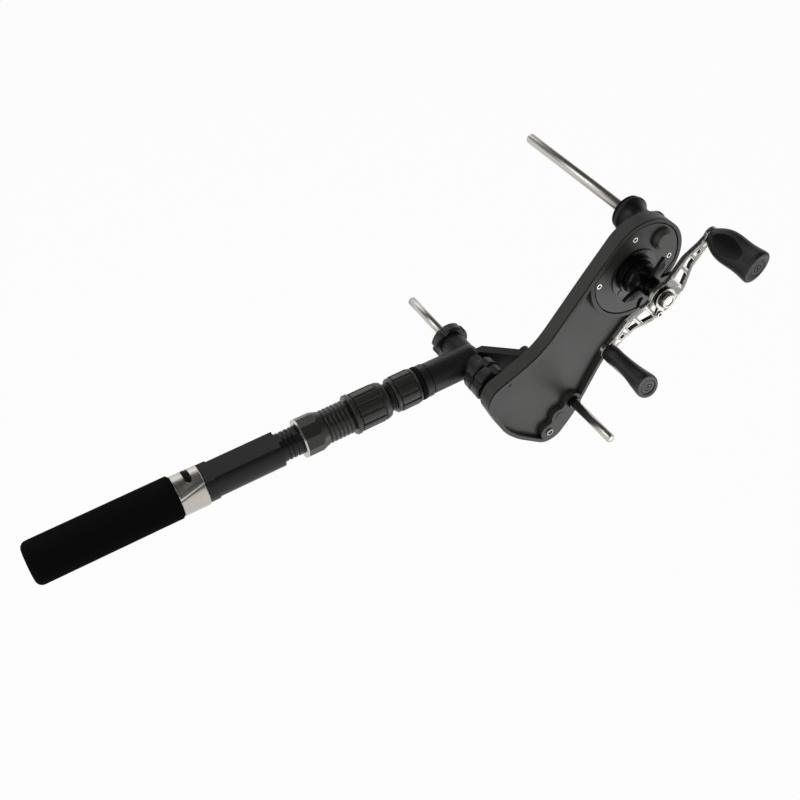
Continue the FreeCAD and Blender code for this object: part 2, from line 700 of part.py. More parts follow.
def arm_lock_knob():
    knob = star_knob(LOCK_KNOB_NEAR_Y, LOCK_KNOB_FAR_Y, LOCK_KNOB_TURN)
    return at_tee(knob.cut(rod_y(PIVOT_R + THREAD_FIT, LOCK_KNOB_NEAR_Y, LOCK_KNOB_FAR_Y)))


def pivot_shaft():
    return at_tee(rod_y(PIVOT_R, PIVOT_NEAR_Y, PIVOT_FAR_Y))


def arm_collar():
    return at_tee(tube_y(COLLAR_R, PIVOT_R + BOND, ARM_BACK_Y, COLLAR_FAR_Y))


# ---- gear arm -----------------------------------------------------------------------------------
def arm_wire(y):
    """The arm's outline, seen from the crank side."""
    return rounded_wire([
        (HEAD_U + HEAD_R, HEAD_R, HEAD_R - HEAD_EASE),
        (HEAD_SIDE_U, HEAD_R - HEAD_TAPER, WAIST_ROUND),
        (WAIST_TOP_U, WAIST_TOP_V, WAIST_ROUND),
        (FOOT_TOP_U, FOOT_TOP_V, FOOT_CORNER_R),
        (FOOT_END_U + 1, HEAD_U, FOOT_ROUND),
        (FOOT_END_U, -HEAD_U, FOOT_ROUND),
        (FOOT_BOTTOM_U, FOOT_BOTTOM_V, FOOT_CORNER_R),
        (FOOT_SIDE_U, FOOT_SIDE_V, FOOT_ROUND),
        (WAIST_BOTTOM_U, WAIST_BOTTOM_V, WAIST_ROUND),
        (HEAD_U + HEAD_R, -HEAD_R, HEAD_R - HEAD_EASE),
    ], y)


def between(wire, depth):
    """The solid that a flat wire sweeps toward +Y."""
    return Part.Face(wire).extrude(FreeCAD.Vector(0, depth, 0))


def cover_wire(y, side, head, tail):
    """The gear cover's outline, grown by a margin at its sides, head end and tail end."""
    half = COVER_HALF + side
    head_r = COVER_HEAD_R + head
    tail_r = COVER_TAIL_R + tail
    head_u = HEAD_U + math.sqrt(head_r ** 2 - half ** 2)
    tail_u = COVER_TAIL_U - math.sqrt(tail_r ** 2 - half ** 2)
    top_head = FreeCAD.Vector(head_u, y, half)
    low_head = FreeCAD.Vector(head_u, y, -half)
    low_tail = FreeCAD.Vector(tail_u, y, -half)
    top_tail = FreeCAD.Vector(tail_u, y, half)
    return Part.Wire([
        Part.Arc(top_head, FreeCAD.Vector(HEAD_U + head_r, y, 0), low_head).toShape(),
        Part.LineSegment(low_head, low_tail).toShape(),
        Part.Arc(low_tail, FreeCAD.Vector(COVER_TAIL_U - tail_r, y, 0), top_tail).toShape(),
        Part.LineSegment(top_tail, top_head).toShape(),
    ])


def rim_bosses():
    """The three round bosses that stand in the arm's lower rim."""
    places = [(ROD_BOSS_U, ROD_BOSS_V), (BLANK_BOSS_U, BLANK_BOSS_V), (SCREW_BOSS_U, SCREW_BOSS_V)]
    return [rod_y(RIM_BOSS_R, ARM_FRONT_Y, ARM_BACK_Y, u, v) for u, v in places]


def back_pockets():
    """The shallow ribbed hollow behind the waist and the foot."""
    depth = ARM_BACK_Y - (ARM_FRONT_Y + RECESS_DEPTH + ARM_FLOOR)
    hollow = between(arm_wire(ARM_BACK_Y - depth).makeOffset2D(-ARM_RIM), depth)
    keep = [box(POCKET_HEAD_U, HEAD_U + HEAD_R, ARM_FRONT_Y, ARM_BACK_Y, -HEAD_R, HEAD_R),
            rod_y(PIVOT_BOSS_R, ARM_FRONT_Y, ARM_BACK_Y, PIVOT_U, PIVOT_V)] + rim_bosses()
    for u in RIB_PLACES:
        keep.append(box(u - RIB_T / 2, u + RIB_T / 2, ARM_FRONT_Y, ARM_BACK_Y, FOOT_BOTTOM_V, FOOT_TOP_V))
    keep.append(box(FOOT_END_U, POCKET_HEAD_U, ARM_FRONT_Y, ARM_BACK_Y, -RIB_T / 2, RIB_T / 2))
    for solid in keep:
        hollow = hollow.cut(solid)
    return hollow


def arm_seam():
    """The narrow groove that runs round the arm's side, just behind its front face."""
    outline = arm_wire(ARM_FRONT_Y + SEAM_AT)
    outside = between(outline.makeOffset2D(CUT_MARGIN), SEAM_W)
    return outside.cut(between(outline.makeOffset2D(-SEAM_DEPTH), SEAM_W))


def arm_shell():
    outline = arm_wire(ARM_FRONT_Y)
    shell = between(outline, ARM_DEPTH)
    platform = between(cover_wire(ARM_FRONT_Y, PLATFORM_SIDE, PLATFORM_SIDE, PLATFORM_MARGIN), RECESS_DEPTH)
    recess = between(outline.makeOffset2D(-ARM_RIM), RECESS_DEPTH).cut(platform)
    land = box(SCREW_BOSS_U, ROD_BOSS_U, ARM_FRONT_Y, ARM_BACK_Y, FOOT_BOTTOM_V, LAND_V)
    for solid in rim_bosses() + [land]:
        recess = recess.cut(solid)
    shell = shell.cut(recess).cut(back_pockets()).cut(arm_seam())
    shell = shell.cut(between(cover_wire(ARM_FRONT_Y, COVER_GROOVE, COVER_GROOVE, COVER_GROOVE),
                              COVER_BACK_Y - ARM_FRONT_Y))
    crank_room = CRANK_TEETH * MODULE / 2 + MODULE + CHAMBER_CLEAR
    spindle_room = SPINDLE_TEETH * MODULE / 2 + MODULE + CHAMBER_CLEAR
    cuts = [rod_y(crank_room, COVER_BACK_Y, CHAMBER_BACK_Y),
            rod_y(spindle_room, COVER_BACK_Y, CHAMBER_BACK_Y, GEAR_CENTRES, 0),
            rod_y(CRANK_BUSH_R + BOND, CHAMBER_BACK_Y, REAR_BUSH_FAR_Y),
            rod_y(BEARING_R + BOND, CHAMBER_BACK_Y, ARM_BACK_Y, GEAR_CENTRES, 0),
            rod_y(PIVOT_R + BOND, PIVOT_NEAR_Y, ARM_BACK_Y, PIVOT_U, PIVOT_V),
            rod_y(DIMPLE_R, ARM_FRONT_Y, ARM_FRONT_Y + RECESS_DEPTH + DIMPLE_DEPTH, DIMPLE_U, DIMPLE_V),
            rod_y(ROD_SLEEVE_R + BOND, ARM_FRONT_Y, ROD_SLEEVE_FAR_Y, ROD_BOSS_U, ROD_BOSS_V),
            rod_y(PLUG_R + BOND, ARM_FRONT_Y, ARM_FRONT_Y + PLUG_DEPTH, BLANK_BOSS_U, BLANK_BOSS_V),
            rod_y(FOOT_SCREW_R + BOND, ARM_FRONT_Y, ARM_FRONT_Y + FOOT_SCREW_L, SCREW_BOSS_U, SCREW_BOSS_V)]
    for u, v in COVER_SCREWS:
        cuts.append(rod_y(SCREW_SHANK_R + BOND, COVER_BACK_Y, COVER_FRONT_Y + SCREW_L, u, v))
    for cut in cuts:
        shell = shell.cut(cut)
    return in_arm(shell.removeSplitter())


def gear_cover():
    cover = between(cover_wire(COVER_FRONT_Y, 0, 0, 0), COVER_T)
    cover = cover.cut(rod_y(CRANK_BUSH_R + BOND, COVER_FRONT_Y, COVER_BACK_Y))
    cover = cover.cut(rod_y(BEARING_R + BOND, COVER_FRONT_Y, COVER_BACK_Y, GEAR_CENTRES, 0))
    for u, v in COVER_SCREWS:
        cover = cover.cut(rod_y(SCREW_HEAD_R + BOND, COVER_FRONT_Y, COVER_FRONT_Y + SCREW_HEAD_T, u, v))
        cover = cover.cut(rod_y(SCREW_SHANK_R + BOND, COVER_FRONT_Y, COVER_BACK_Y, u, v))
    return in_arm(cover)


def socket_screw(head_r, head_t, shank_r, length, near, u, v):
    """A screw with a flush head and a hexagon socket, driven toward +Y."""
    screw = rod_y(head_r, near, near + head_t, u, v)
    screw = screw.fuse(rod_y(shank_r, near + head_t, near + length, u, v))
    return screw.cut(hexagon(head_r * SOCKET_SHARE, near, near + head_t * SOCKET_SHARE, u, v))


def hexagon(corner_r, near, far, u=0.0, v=0.0):
    """A six-sided prism parallel to Y."""
    angles = [math.pi * i / 3 for i in range(6)]
    points = [FreeCAD.Vector(u + corner_r * math.cos(a), near, v + corner_r * math.sin(a)) for a in angles]
    return Part.Face(Part.makePolygon(points + points[:1])).extrude(FreeCAD.Vector(0, far - near, 0))


def cover_screws():
    screws = [socket_screw(SCREW_HEAD_R, SCREW_HEAD_T, SCREW_SHANK_R, SCREW_L, COVER_FRONT_Y, u, v)
              for u, v in COVER_SCREWS]
    return in_arm(Part.makeCompound(screws))


def rod_sleeve():
    sleeve = tube_y(ROD_SLEEVE_R, ROD_TAIL_R + BOND, ARM_FRONT_Y - ROD_SLEEVE_PROUD, ROD_SLEEVE_FAR_Y,
                    ROD_BOSS_U, ROD_BOSS_V)
    return in_arm(sleeve)


def lower_rod():
    shoulder = ARM_FRONT_Y - ROD_SLEEVE_PROUD - SHOULDER_GAP
    rod = rod_y(ROD_R, LOWER_ROD_END_Y, shoulder, ROD_BOSS_U, ROD_BOSS_V)
    rod = rod.makeChamfer(ROD_CHAMFER, ring_edges(rod, LOWER_ROD_END_Y, ROD_R, "y"))
    return in_arm(rod.fuse(rod_y(ROD_TAIL_R, shoulder, ROD_SLEEVE_FAR_Y, ROD_BOSS_U, ROD_BOSS_V)))


def boss_plug():
    near = ARM_FRONT_Y - PLUG_PROUD
    return in_arm(rod_y(PLUG_R, near, ARM_FRONT_Y + PLUG_DEPTH, BLANK_BOSS_U, BLANK_BOSS_V))


def foot_screw():
    head = rod_y(FOOT_SCREW_HEAD_R, ARM_FRONT_Y - FOOT_SCREW_HEAD_T, ARM_FRONT_Y, SCREW_BOSS_U, SCREW_BOSS_V)
    shank = rod_y(FOOT_SCREW_R, ARM_FRONT_Y, ARM_FRONT_Y + FOOT_SCREW_L, SCREW_BOSS_U, SCREW_BOSS_V)
    socket = hexagon(FOOT_SCREW_R * SOCKET_SHARE, ARM_FRONT_Y - FOOT_SCREW_HEAD_T, ARM_FRONT_Y,
                     SCREW_BOSS_U, SCREW_BOSS_V)
    return in_arm(head.fuse(shank).cut(socket).removeSplitter())


def crank_boss_ring():
    base_y = COVER_FRONT_Y - BOSS_BASE_T
    ring = rod_y(BOSS_FLANGE_R, COVER_FRONT_Y - BOSS_FLANGE_T, COVER_FRONT_Y)
    ring = ring.fuse(rod_y(BOSS_RING_R, COVER_FRONT_Y - BOSS_RING_H, COVER_FRONT_Y))
    lug_u = BOSS_LUG_R + BOSS_LUG_INSET - BOSS_FLANGE_R
    ring = ring.fuse(rod_y(BOSS_LUG_R, base_y, COVER_FRONT_Y, lug_u, 0))
    ring = ring.cut(rod_y(BOSS_RING_R - BOSS_RING_WALL, COVER_FRONT_Y - BOSS_RING_H, base_y))
    return in_arm(ring.cut(rod_y(CRANK_BUSH_R + BOND, base_y, COVER_FRONT_Y)))


def crank_bush_front():
    return in_arm(tube_y(CRANK_BUSH_R, CRANK_SHAFT_R + RUN, COVER_FRONT_Y - BOSS_BASE_T, COVER_BACK_Y))


def crank_bush_rear():
    return in_arm(tube_y(CRANK_BUSH_R, CRANK_SHAFT_R + RUN, CHAMBER_BACK_Y, REAR_BUSH_FAR_Y))


def spindle_cap():
    front = COVER_FRONT_Y - CAP_H
    cap = turned_y([(front, CAP_FACE_R), (front + CAP_R - CAP_FACE_R, CAP_R), (COVER_FRONT_Y, CAP_R)],
                   GEAR_CENTRES, 0)
    return in_arm(cap.cut(rod_y(BEARING_R + BOND, front + CAP_WALL, COVER_FRONT_Y, GEAR_CENTRES, 0)))


def spindle_bearing_front():
    near = COVER_FRONT_Y - CAP_H + CAP_WALL
    return in_arm(tube_y(BEARING_R, SPINDLE_TAIL_R + RUN, near, COVER_BACK_Y, GEAR_CENTRES, 0))


def spindle_bearing_rear():
    return in_arm(tube_y(BEARING_R, SPINDLE_TAIL_R + RUN, CHAMBER_BACK_Y, ARM_BACK_Y, GEAR_CENTRES, 0))


# ---- gears and drive ----------------------------------------------------------------------------
def polar(radius, angle, y):
    """A point at a radius and an angle (radians) from the u direction."""
    return FreeCAD.Vector(radius * math.cos(angle), y, radius * math.sin(angle))


def spur_gear(teeth, phase):
    """A spur gear with involute flanks about the axis u = v = 0, turned by a phase in degrees."""
    pressure = math.radians(PRESSURE_ANGLE)
    pitch_r = MODULE * teeth / 2
    base_r = pitch_r * math.cos(pressure)
    tip_r = pitch_r + MODULE
    root_r = pitch_r - DEDENDUM * MODULE
    start_r = max(base_r, root_r)
    half_pitch = math.pi / (2 * teeth) - TOOTH_THINNING / (2 * pitch_r)

    def half_tooth(radius):
        angle = math.acos(min(1.0, base_r / radius))
        return half_pitch + math.tan(pressure) - pressure - math.tan(angle) + angle

    middle_r = (start_r + tip_r) / 2
    edges = []
    for tooth in range(teeth):
        centre = math.radians(phase) + 2 * math.pi * tooth / teeth
        corners = []
        for side in (-1, 1):
            corners.append([polar(r, centre + side * half_tooth(max(r, base_r)), GEAR_FRONT_Y)
                            for r in (root_r, start_r, middle_r, tip_r)])
        rise, fall = corners
        following = polar(root_r, centre + 2 * math.pi / teeth - half_tooth(start_r), GEAR_FRONT_Y)
        if start_r > root_r:
            edges.append(Part.LineSegment(rise[0], rise[1]).toShape())
        edges.append(Part.Arc(rise[1], rise[2], rise[3]).toShape())
        edges.append(Part.LineSegment(rise[3], fall[3]).toShape())
        edges.append(Part.Arc(fall[3], fall[2], fall[1]).toShape())
        if start_r > root_r:
            edges.append(Part.LineSegment(fall[1], fall[0]).toShape())
        edges.append(Part.LineSegment(fall[0], following).toShape())
    return between(Part.Wire(edges), GEAR_FACE)


def crank_gear():
    gear = spur_gear(CRANK_TEETH, 0)
    web_r = (CRANK_SHAFT_R + MODULE * CRANK_TEETH / 2) / 2
    hole = rod_y(GEAR_HOLE_R, GEAR_FRONT_Y, GEAR_BACK_Y, web_r, 0)
    for cut in around(hole, ORIGIN, Y_AXIS, GEAR_HOLES):
        gear = gear.cut(cut)
    return in_arm(gear.cut(rod_y(CRANK_SHAFT_R + BOND, GEAR_FRONT_Y, GEAR_BACK_Y)))


def spindle_pinion():
    pinion = spur_gear(SPINDLE_TEETH, 180.0 / SPINDLE_TEETH)
    pinion = pinion.cut(rod_y(SPINDLE_TAIL_R + BOND, GEAR_FRONT_Y, GEAR_BACK_Y))
    pinion.translate(FreeCAD.Vector(GEAR_CENTRES, 0, 0))
    return in_arm(pinion)


def spindle():
    near = COVER_FRONT_Y - CAP_H + CAP_WALL + AIR
    shoulder = PAD_FAR_Y + SHOULDER_GAP
    rod = rod_y(SPINDLE_R, shoulder, SPINDLE_END_Y, GEAR_CENTRES, 0)
    rod = rod.makeFillet(SPINDLE_END_ROUND, ring_edges(rod, SPINDLE_END_Y, SPINDLE_R, "y"))
    return in_arm(rod.fuse(rod_y(SPINDLE_TAIL_R, near, shoulder, GEAR_CENTRES, 0)))


def drive_hub():
    hub = rod_y(HUB_R, HUB_NEAR_Y, HUB_FAR_Y, GEAR_CENTRES, 0)
    hub = hub.makeFillet(HUB_ROUND, ring_edges(hub, HUB_FAR_Y, HUB_R, "y"))
    ring_r = HUB_NECK_R + HUB_FLARE_R
    reach = math.sqrt(HUB_FLARE_R ** 2 - (ring_r - HUB_R) ** 2)
    middle = FreeCAD.Vector(GEAR_CENTRES, HUB_FAR_Y - HUB_FLANGE_L - reach, 0)
    hub = hub.cut(Part.makeTorus(ring_r, HUB_FLARE_R, middle, Y_AXIS))
    hub = hub.cut(rod_y(SPINDLE_TAIL_R + BOND, HUB_NEAR_Y, HUB_FAR_Y, GEAR_CENTRES, 0))
    return in_arm(hub.cut(hub_screw_room(SET_SCREW_R + BOND, HUB_R)))


def hub_screw_room(radius, reach):
    """The radial hole of the hub's set screw, from the spindle outward."""
    start = FreeCAD.Vector(GEAR_CENTRES, HUB_NEAR_Y + HUB_L / 2, -SPINDLE_TAIL_R)
    return Part.makeCylinder(radius, reach - SPINDLE_TAIL_R, start, -Z_AXIS)


def hub_set_screw():
    screw = hub_screw_room(SET_SCREW_R, SET_SCREW_REACH)
    socket = Part.makeCylinder(SET_SCREW_R * SOCKET_SHARE, SET_SCREW_R,
                               FreeCAD.Vector(GEAR_CENTRES, HUB_NEAR_Y + HUB_L / 2, -SET_SCREW_REACH), Z_AXIS)
    return in_arm(screw.cut(socket))


def drive_pad():
    return in_arm(tube_y(PAD_R, SPINDLE_TAIL_R + BOND, HUB_FAR_Y, PAD_FAR_Y, GEAR_CENTRES, 0))


def crank_shaft():
    return in_arm(rod_y(CRANK_SHAFT_R, CRANK_HUB_Y - NUT_H + NUT_CROWN, REAR_BUSH_FAR_Y - RUN))


def drag_dome():
    back = COVER_FRONT_Y - BOSS_BASE_T - AIR
    radius = BOSS_RING_R - BOSS_RING_WALL - AIR
    dome = turned_y([(DOME_TOP_Y, DOME_TOP_R - DOME_EDGE), (DOME_TOP_Y + DOME_EDGE, DOME_TOP_R),
                     (DOME_STEP_Y, DOME_TOP_R), (DOME_STEP_Y, radius - DOME_EDGE),
                     (DOME_STEP_Y + DOME_EDGE, radius), (back, radius)])
    return in_arm(dome.cut(rod_y(CRANK_SHAFT_R + BOND, DOME_TOP_Y, back)))


def star_arm():
    """One curved, pointed arm of the star wheel."""
    left = polar(STAR_HUB_R, -math.radians(STAR_ROOT_ANGLE), STAR_FRONT_Y)
    right = polar(STAR_HUB_R, math.radians(STAR_ROOT_ANGLE), STAR_FRONT_Y)
    tip = polar(STAR_R, 0, STAR_FRONT_Y)
    middle_r = (STAR_HUB_R + STAR_R) / 2
    left_side = Part.Arc(left, polar(middle_r, -math.radians(STAR_BULGE_ANGLE), STAR_FRONT_Y), tip)
    right_side = Part.Arc(tip, polar(middle_r, math.radians(STAR_HOLLOW_ANGLE), STAR_FRONT_Y), right)
    wire = Part.Wire([left_side.toShape(), right_side.toShape(), Part.LineSegment(right, left).toShape()])
    return between(wire, STAR_T)


def star_wheel():
    wheel = rod_y(STAR_HUB_R, STAR_FRONT_Y, STAR_BACK_Y)
    wheel = wheel.fuse(around(star_arm(), ORIGIN, Y_AXIS, STAR_ARMS, -STAR_PHASE))
    wheel = wheel.fuse(rod_y(WASHER_R, STAR_COLLAR_Y, STAR_FRONT_Y))
    return in_arm(wheel.cut(rod_y(CRANK_SHAFT_R + RUN, STAR_COLLAR_Y, STAR_BACK_Y)).removeSplitter())


def drag_washers():
    """The stack of washers between the star wheel and the crank."""
    start = CRANK_HUB_Y + CRANK_T
    thick = (STAR_COLLAR_Y - AIR - start) / WASHERS
    stack = []
    for i in range(WASHERS):
        radius = WASHER_R - WASHER_STEP * (i % 2)
        stack.append(tube_y(radius, CRANK_SHAFT_R + BOND, start + i * thick, start + (i + 1) * thick))
    return in_arm(Part.makeCompound(stack))


# ---- crank handle -------------------------------------------------------------------------------
def mirrored_points(points):
    """A closed outline from its points on one side, repeated on the other side of the crank."""
    upper = [(x, z) for x, z in points]
    return upper + [(x, -z) for x, z in reversed(upper)]


def crank_plan():
    """The crank's outline seen along its axis, as a tall solid."""
    reach = CRANK_HALF + CRANK_EYE_R
    near = CRANK_HUB_Y - CUT_MARGIN
    far = CRANK_END_Y + CRANK_T + CUT_MARGIN
    sides = [(-CRANK_HALF, CRANK_TIP_W / 2), (-CRANK_TIP_REACH, CRANK_TIP_W / 2),
             (-CRANK_MID_REACH, CRANK_MID_W / 2), (-CRANK_HUB_REACH, CRANK_HUB_W / 2),
             (CRANK_HUB_REACH, CRANK_HUB_W / 2), (CRANK_MID_REACH, CRANK_MID_W / 2),
             (CRANK_TIP_REACH, CRANK_TIP_W / 2), (CRANK_HALF, CRANK_TIP_W / 2)]
    points = [FreeCAD.Vector(x, near, z) for x, z in mirrored_points(sides)]
    plan = Part.Face(Part.makePolygon(points + points[:1])).extrude(FreeCAD.Vector(0, far - near, 0))
    plan = plan.fuse([rod_y(CRANK_HUB_R, near, far), rod_y(CRANK_EYE_R, near, far, CRANK_HALF, 0),
                      rod_y(CRANK_EYE_R, near, far, -CRANK_HALF, 0)])
    return plan.common(rod_y(reach, near, far)).removeSplitter()


def crank_slot(side, start, end):
    """One tapering window of the crank, between two distances from its axis."""
    def half_width(distance):
        share = (distance - CRANK_HUB_REACH) / (CRANK_TIP_REACH - CRANK_HUB_REACH)
        return (CRANK_HUB_W + share * (CRANK_TIP_W - CRANK_HUB_W)) / 2 - CRANK_BAR

    corners = [(side * start, half_width(start), SLOT_ROUND), (side * end, half_width(end), SLOT_ROUND),
               (side * end, -half_width(end), SLOT_ROUND), (side * start, -half_width(start), SLOT_ROUND)]
    return plate(corners, CRANK_HUB_Y - CUT_MARGIN, CRANK_END_Y + CRANK_T + CUT_MARGIN)


def crank_arm():
    flat = CRANK_HUB_REACH - CRANK_SWEEP_IN
    ramp = CRANK_MID_REACH
    reach = CRANK_HALF + CRANK_EYE_R
    front = [(-reach, CRANK_END_Y), (-ramp, CRANK_END_Y), (-flat, CRANK_HUB_Y),
             (flat, CRANK_HUB_Y), (ramp, CRANK_END_Y), (reach, CRANK_END_Y)]
    points = [FreeCAD.Vector(x, y, -CRANK_HUB_W) for x, y in front]
    points += [FreeCAD.Vector(x, y + CRANK_T, -CRANK_HUB_W) for x, y in reversed(front)]
    swept = Part.Face(Part.makePolygon(points + points[:1])).extrude(FreeCAD.Vector(0, 0, 2 * CRANK_HUB_W))
    crank = swept.common(crank_plan())
    near = CRANK_HUB_Y
    far = CRANK_END_Y + CRANK_T
    for side in (-1, 1):
        crank = crank.cut(crank_slot(side, SLOT_IN, SLOT_MID - CRANK_BAR / 2))
        crank = crank.cut(crank_slot(side, SLOT_MID + CRANK_BAR / 2, SLOT_OUT))
        crank = crank.cut(rod_y(CRANK_HOLE_R, near, far, side * CRANK_HOLE_AT, 0))
        crank = crank.cut(rod_y(KNOB_SHAFT_R + BOND, near, far, side * CRANK_HALF, 0))
    crank = crank.cut(rod_y(CRANK_SHAFT_R + BOND, near, far))
    crank = crank.cut(rod_y(SCREW_SHANK_R + BOND, near, far, RETAINER_SCREW_X, RETAINER_SCREW_Z))
    return in_crank(crank)


def hub_nut():
    near = CRANK_HUB_Y - NUT_H
    nut = hexagon(NUT_FLATS / math.sqrt(3), near, CRANK_HUB_Y)
    crown = cone_y(NUT_FLATS / 2, NUT_FLATS / 2 + NUT_H, near, CRANK_HUB_Y)
    nut = nut.common(crown)
    return in_crank(nut.cut(rod_y(CRANK_SHAFT_R + BOND, near, CRANK_HUB_Y)))


def nut_retainer():
    near = CRANK_HUB_Y - RETAINER_T
    lock = rod_y(RETAINER_R, near, CRANK_HUB_Y)
    lock = lock.fuse(rod_y(RETAINER_TAIL_R, near, CRANK_HUB_Y, RETAINER_SCREW_X, RETAINER_SCREW_Z))
    distance = math.hypot(RETAINER_SCREW_X, RETAINER_SCREW_Z)
    tail = box(0, distance, near, CRANK_HUB_Y, -RETAINER_TAIL_R, RETAINER_TAIL_R)
    tail.rotate(ORIGIN, Y_AXIS, -math.degrees(math.atan2(RETAINER_SCREW_Z, RETAINER_SCREW_X)))
    lock = lock.fuse(tail)
    lock = lock.cut(hexagon(NUT_FLATS / math.sqrt(3) + RUN, near, CRANK_HUB_Y))
    hole = rod_y(SCREW_SHANK_R + BOND, near, CRANK_HUB_Y, RETAINER_SCREW_X, RETAINER_SCREW_Z)
    return in_crank(lock.cut(hole).removeSplitter())


def retainer_screw():
    near = CRANK_HUB_Y - RETAINER_T - SCREW_HEAD_T
    length = SCREW_HEAD_T + RETAINER_T + CRANK_T
    return in_crank(socket_screw(SCREW_HEAD_R, SCREW_HEAD_T, SCREW_SHANK_R, length, near,
                                 RETAINER_SCREW_X, RETAINER_SCREW_Z))


def oval(half_breadth, half_thickness, x, y):
    """A closed oval wire in the plane at y, its broad side along the crank."""
    curve = Part.Ellipse(FreeCAD.Vector(x + half_breadth, y, 0), FreeCAD.Vector(x, y, half_thickness),
                         FreeCAD.Vector(x, y, 0))
    return Part.Wire(curve.toShape())


def crank_knob(side):
    """A broad oval paddle with a shallow flat on each side, waisted before its end."""
    x = side * CRANK_HALF
    sections = [oval(a, b, x, KNOB_ROOT_Y - share * HANDLE_KNOB_L) for share, a, b in HANDLE_KNOB_SECTIONS]
    last_share, last_a, last_b = HANDLE_KNOB_SECTIONS[-1]
    knob = Part.makeLoft(sections, True, False)
    end_wire = oval(last_a, last_b, x, KNOB_END_Y)
    flange = Part.Face(end_wire).extrude(FreeCAD.Vector(0, (1 - last_share) * HANDLE_KNOB_L, 0))
    flange = flange.makeFillet(KNOB_END_ROUND, [edge for edge in flange.Edges
                                                if abs(edge.BoundBox.YMax - KNOB_END_Y) < KNOB_SEAT])
    knob = knob.fuse(flange)
    middle = KNOB_ROOT_Y - HANDLE_KNOB_DISH_AT * HANDLE_KNOB_L
    for up in (-1, 1):
        centre = FreeCAD.Vector(x - CRANK_HALF, middle, up * (HANDLE_KNOB_DISH_HALF + HANDLE_KNOB_DISH_R))
        knob = knob.cut(Part.makeCylinder(HANDLE_KNOB_DISH_R, 2 * CRANK_HALF, centre, X_AXIS))
    knob = knob.cut(rod_y(KNOB_BORE_R, KNOB_END_Y, KNOB_ROOT_Y, x, 0))
    knob = knob.cut(rod_y(KNOB_CAP_R + BOND, KNOB_END_Y, KNOB_END_Y + KNOB_CAP_T, x, 0))
    knob.rotate(FreeCAD.Vector(x, 0, 0), Y_AXIS, CRANK_ANGLE - KNOB_ROLLS[side])
    return in_crank(knob)


def knob_shaft(side):
    return in_crank(rod_y(KNOB_SHAFT_R, KNOB_END_Y + KNOB_CAP_T + AIR, CRANK_END_Y + CRANK_T,
                          side * CRANK_HALF, 0))


def knob_cap(side):
    cap = rod_y(KNOB_CAP_R, KNOB_END_Y, KNOB_END_Y + KNOB_CAP_T, side * CRANK_HALF, 0)
    return in_crank(cap.cut(rod_y(KNOB_DOT_R, KNOB_END_Y, KNOB_END_Y + KNOB_CAP_T / 2, side * CRANK_HALF, 0)))


# ---- the nodes ----------------------------------------------------------------------------------
PIECES = [foam_grip, butt_plug, handle_tube, seat_sleeve, hood_insert, seat_band, seat_barrel,
          sliding_hood, hood_lip, hood_ring_nut, coupling_nut, threaded_adapter, lock_nut, seal_ring,
          tee_frame, rod_collet, cross_rod, rod_clamp_knob, arm_clamp_knob, arm_lock_knob,
          pivot_shaft, arm_collar, arm_shell, gear_cover, cover_screws, lower_rod, rod_sleeve,
          boss_plug, foot_screw, crank_boss_ring, crank_bush_front, crank_bush_rear, spindle_cap,
          spindle_bearing_front, spindle_bearing_rear, crank_gear, spindle_pinion, spindle, drive_hub,
          hub_set_screw, drive_pad, crank_shaft, drag_dome, star_wheel, drag_washers, crank_arm,
          hub_nut, nut_retainer, retainer_screw]
PAIRED = [crank_knob, knob_shaft, knob_cap]

os.makedirs("parts", exist_ok=True)
for make in PIECES:
    make().exportStep("parts/" + make.__name__ + ".step")
for make in PAIRED:
    for number, side in ((1, 1), (2, -1)):
        make(side).exportStep("parts/" + make.__name__ + "_" + str(number) + ".step")
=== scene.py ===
"""Looks of a hand-held fishing line winder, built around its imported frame.

Sub-assemblies are classes that hold their sizes in millimetres, finishes are frozen dataclasses,
and everything is placed in the row frame: +X along the handle, +Y along the spool spindle, +Z up.
"""

import logging
import math
from collections.abc import Callable, Iterable, Mapping, Sequence
from dataclasses import dataclass, field
from enum import Enum
from functools import partial

import bmesh
import bpy
from mathutils import Matrix, Vector


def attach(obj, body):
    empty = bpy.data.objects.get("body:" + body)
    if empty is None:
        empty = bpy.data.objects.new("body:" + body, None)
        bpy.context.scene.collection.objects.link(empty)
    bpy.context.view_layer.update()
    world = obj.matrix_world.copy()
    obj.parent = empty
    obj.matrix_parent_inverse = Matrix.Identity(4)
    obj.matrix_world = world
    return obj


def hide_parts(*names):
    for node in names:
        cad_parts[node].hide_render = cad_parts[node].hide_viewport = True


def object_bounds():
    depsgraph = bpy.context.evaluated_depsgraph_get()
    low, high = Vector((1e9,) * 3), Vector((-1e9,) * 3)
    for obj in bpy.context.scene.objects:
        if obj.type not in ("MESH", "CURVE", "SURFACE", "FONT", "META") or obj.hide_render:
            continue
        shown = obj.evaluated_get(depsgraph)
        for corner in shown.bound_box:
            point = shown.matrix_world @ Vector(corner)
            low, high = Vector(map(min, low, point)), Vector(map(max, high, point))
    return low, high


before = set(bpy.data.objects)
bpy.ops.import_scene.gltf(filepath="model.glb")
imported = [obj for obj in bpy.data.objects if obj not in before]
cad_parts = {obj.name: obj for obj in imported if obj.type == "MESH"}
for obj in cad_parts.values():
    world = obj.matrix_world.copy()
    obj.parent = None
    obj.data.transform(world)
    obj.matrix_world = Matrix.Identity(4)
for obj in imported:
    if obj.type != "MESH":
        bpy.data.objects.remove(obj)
cad_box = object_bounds()

MM = 0.001
WELD = 1e-8  # metres: joins the corners of a built shape that meet
CAD_WELD = 1e-6  # metres: joins the loose triangles of a CAD node
SHARP_DEG = 38  # an edge that turns more than this is drawn sharp
FLAT_DEG = 0.5  # CAD triangles that turn less than this are joined to one face
TINY = 1e-6  # millimetres: a smaller difference counts as none
log = logging.getLogger("line_winder")

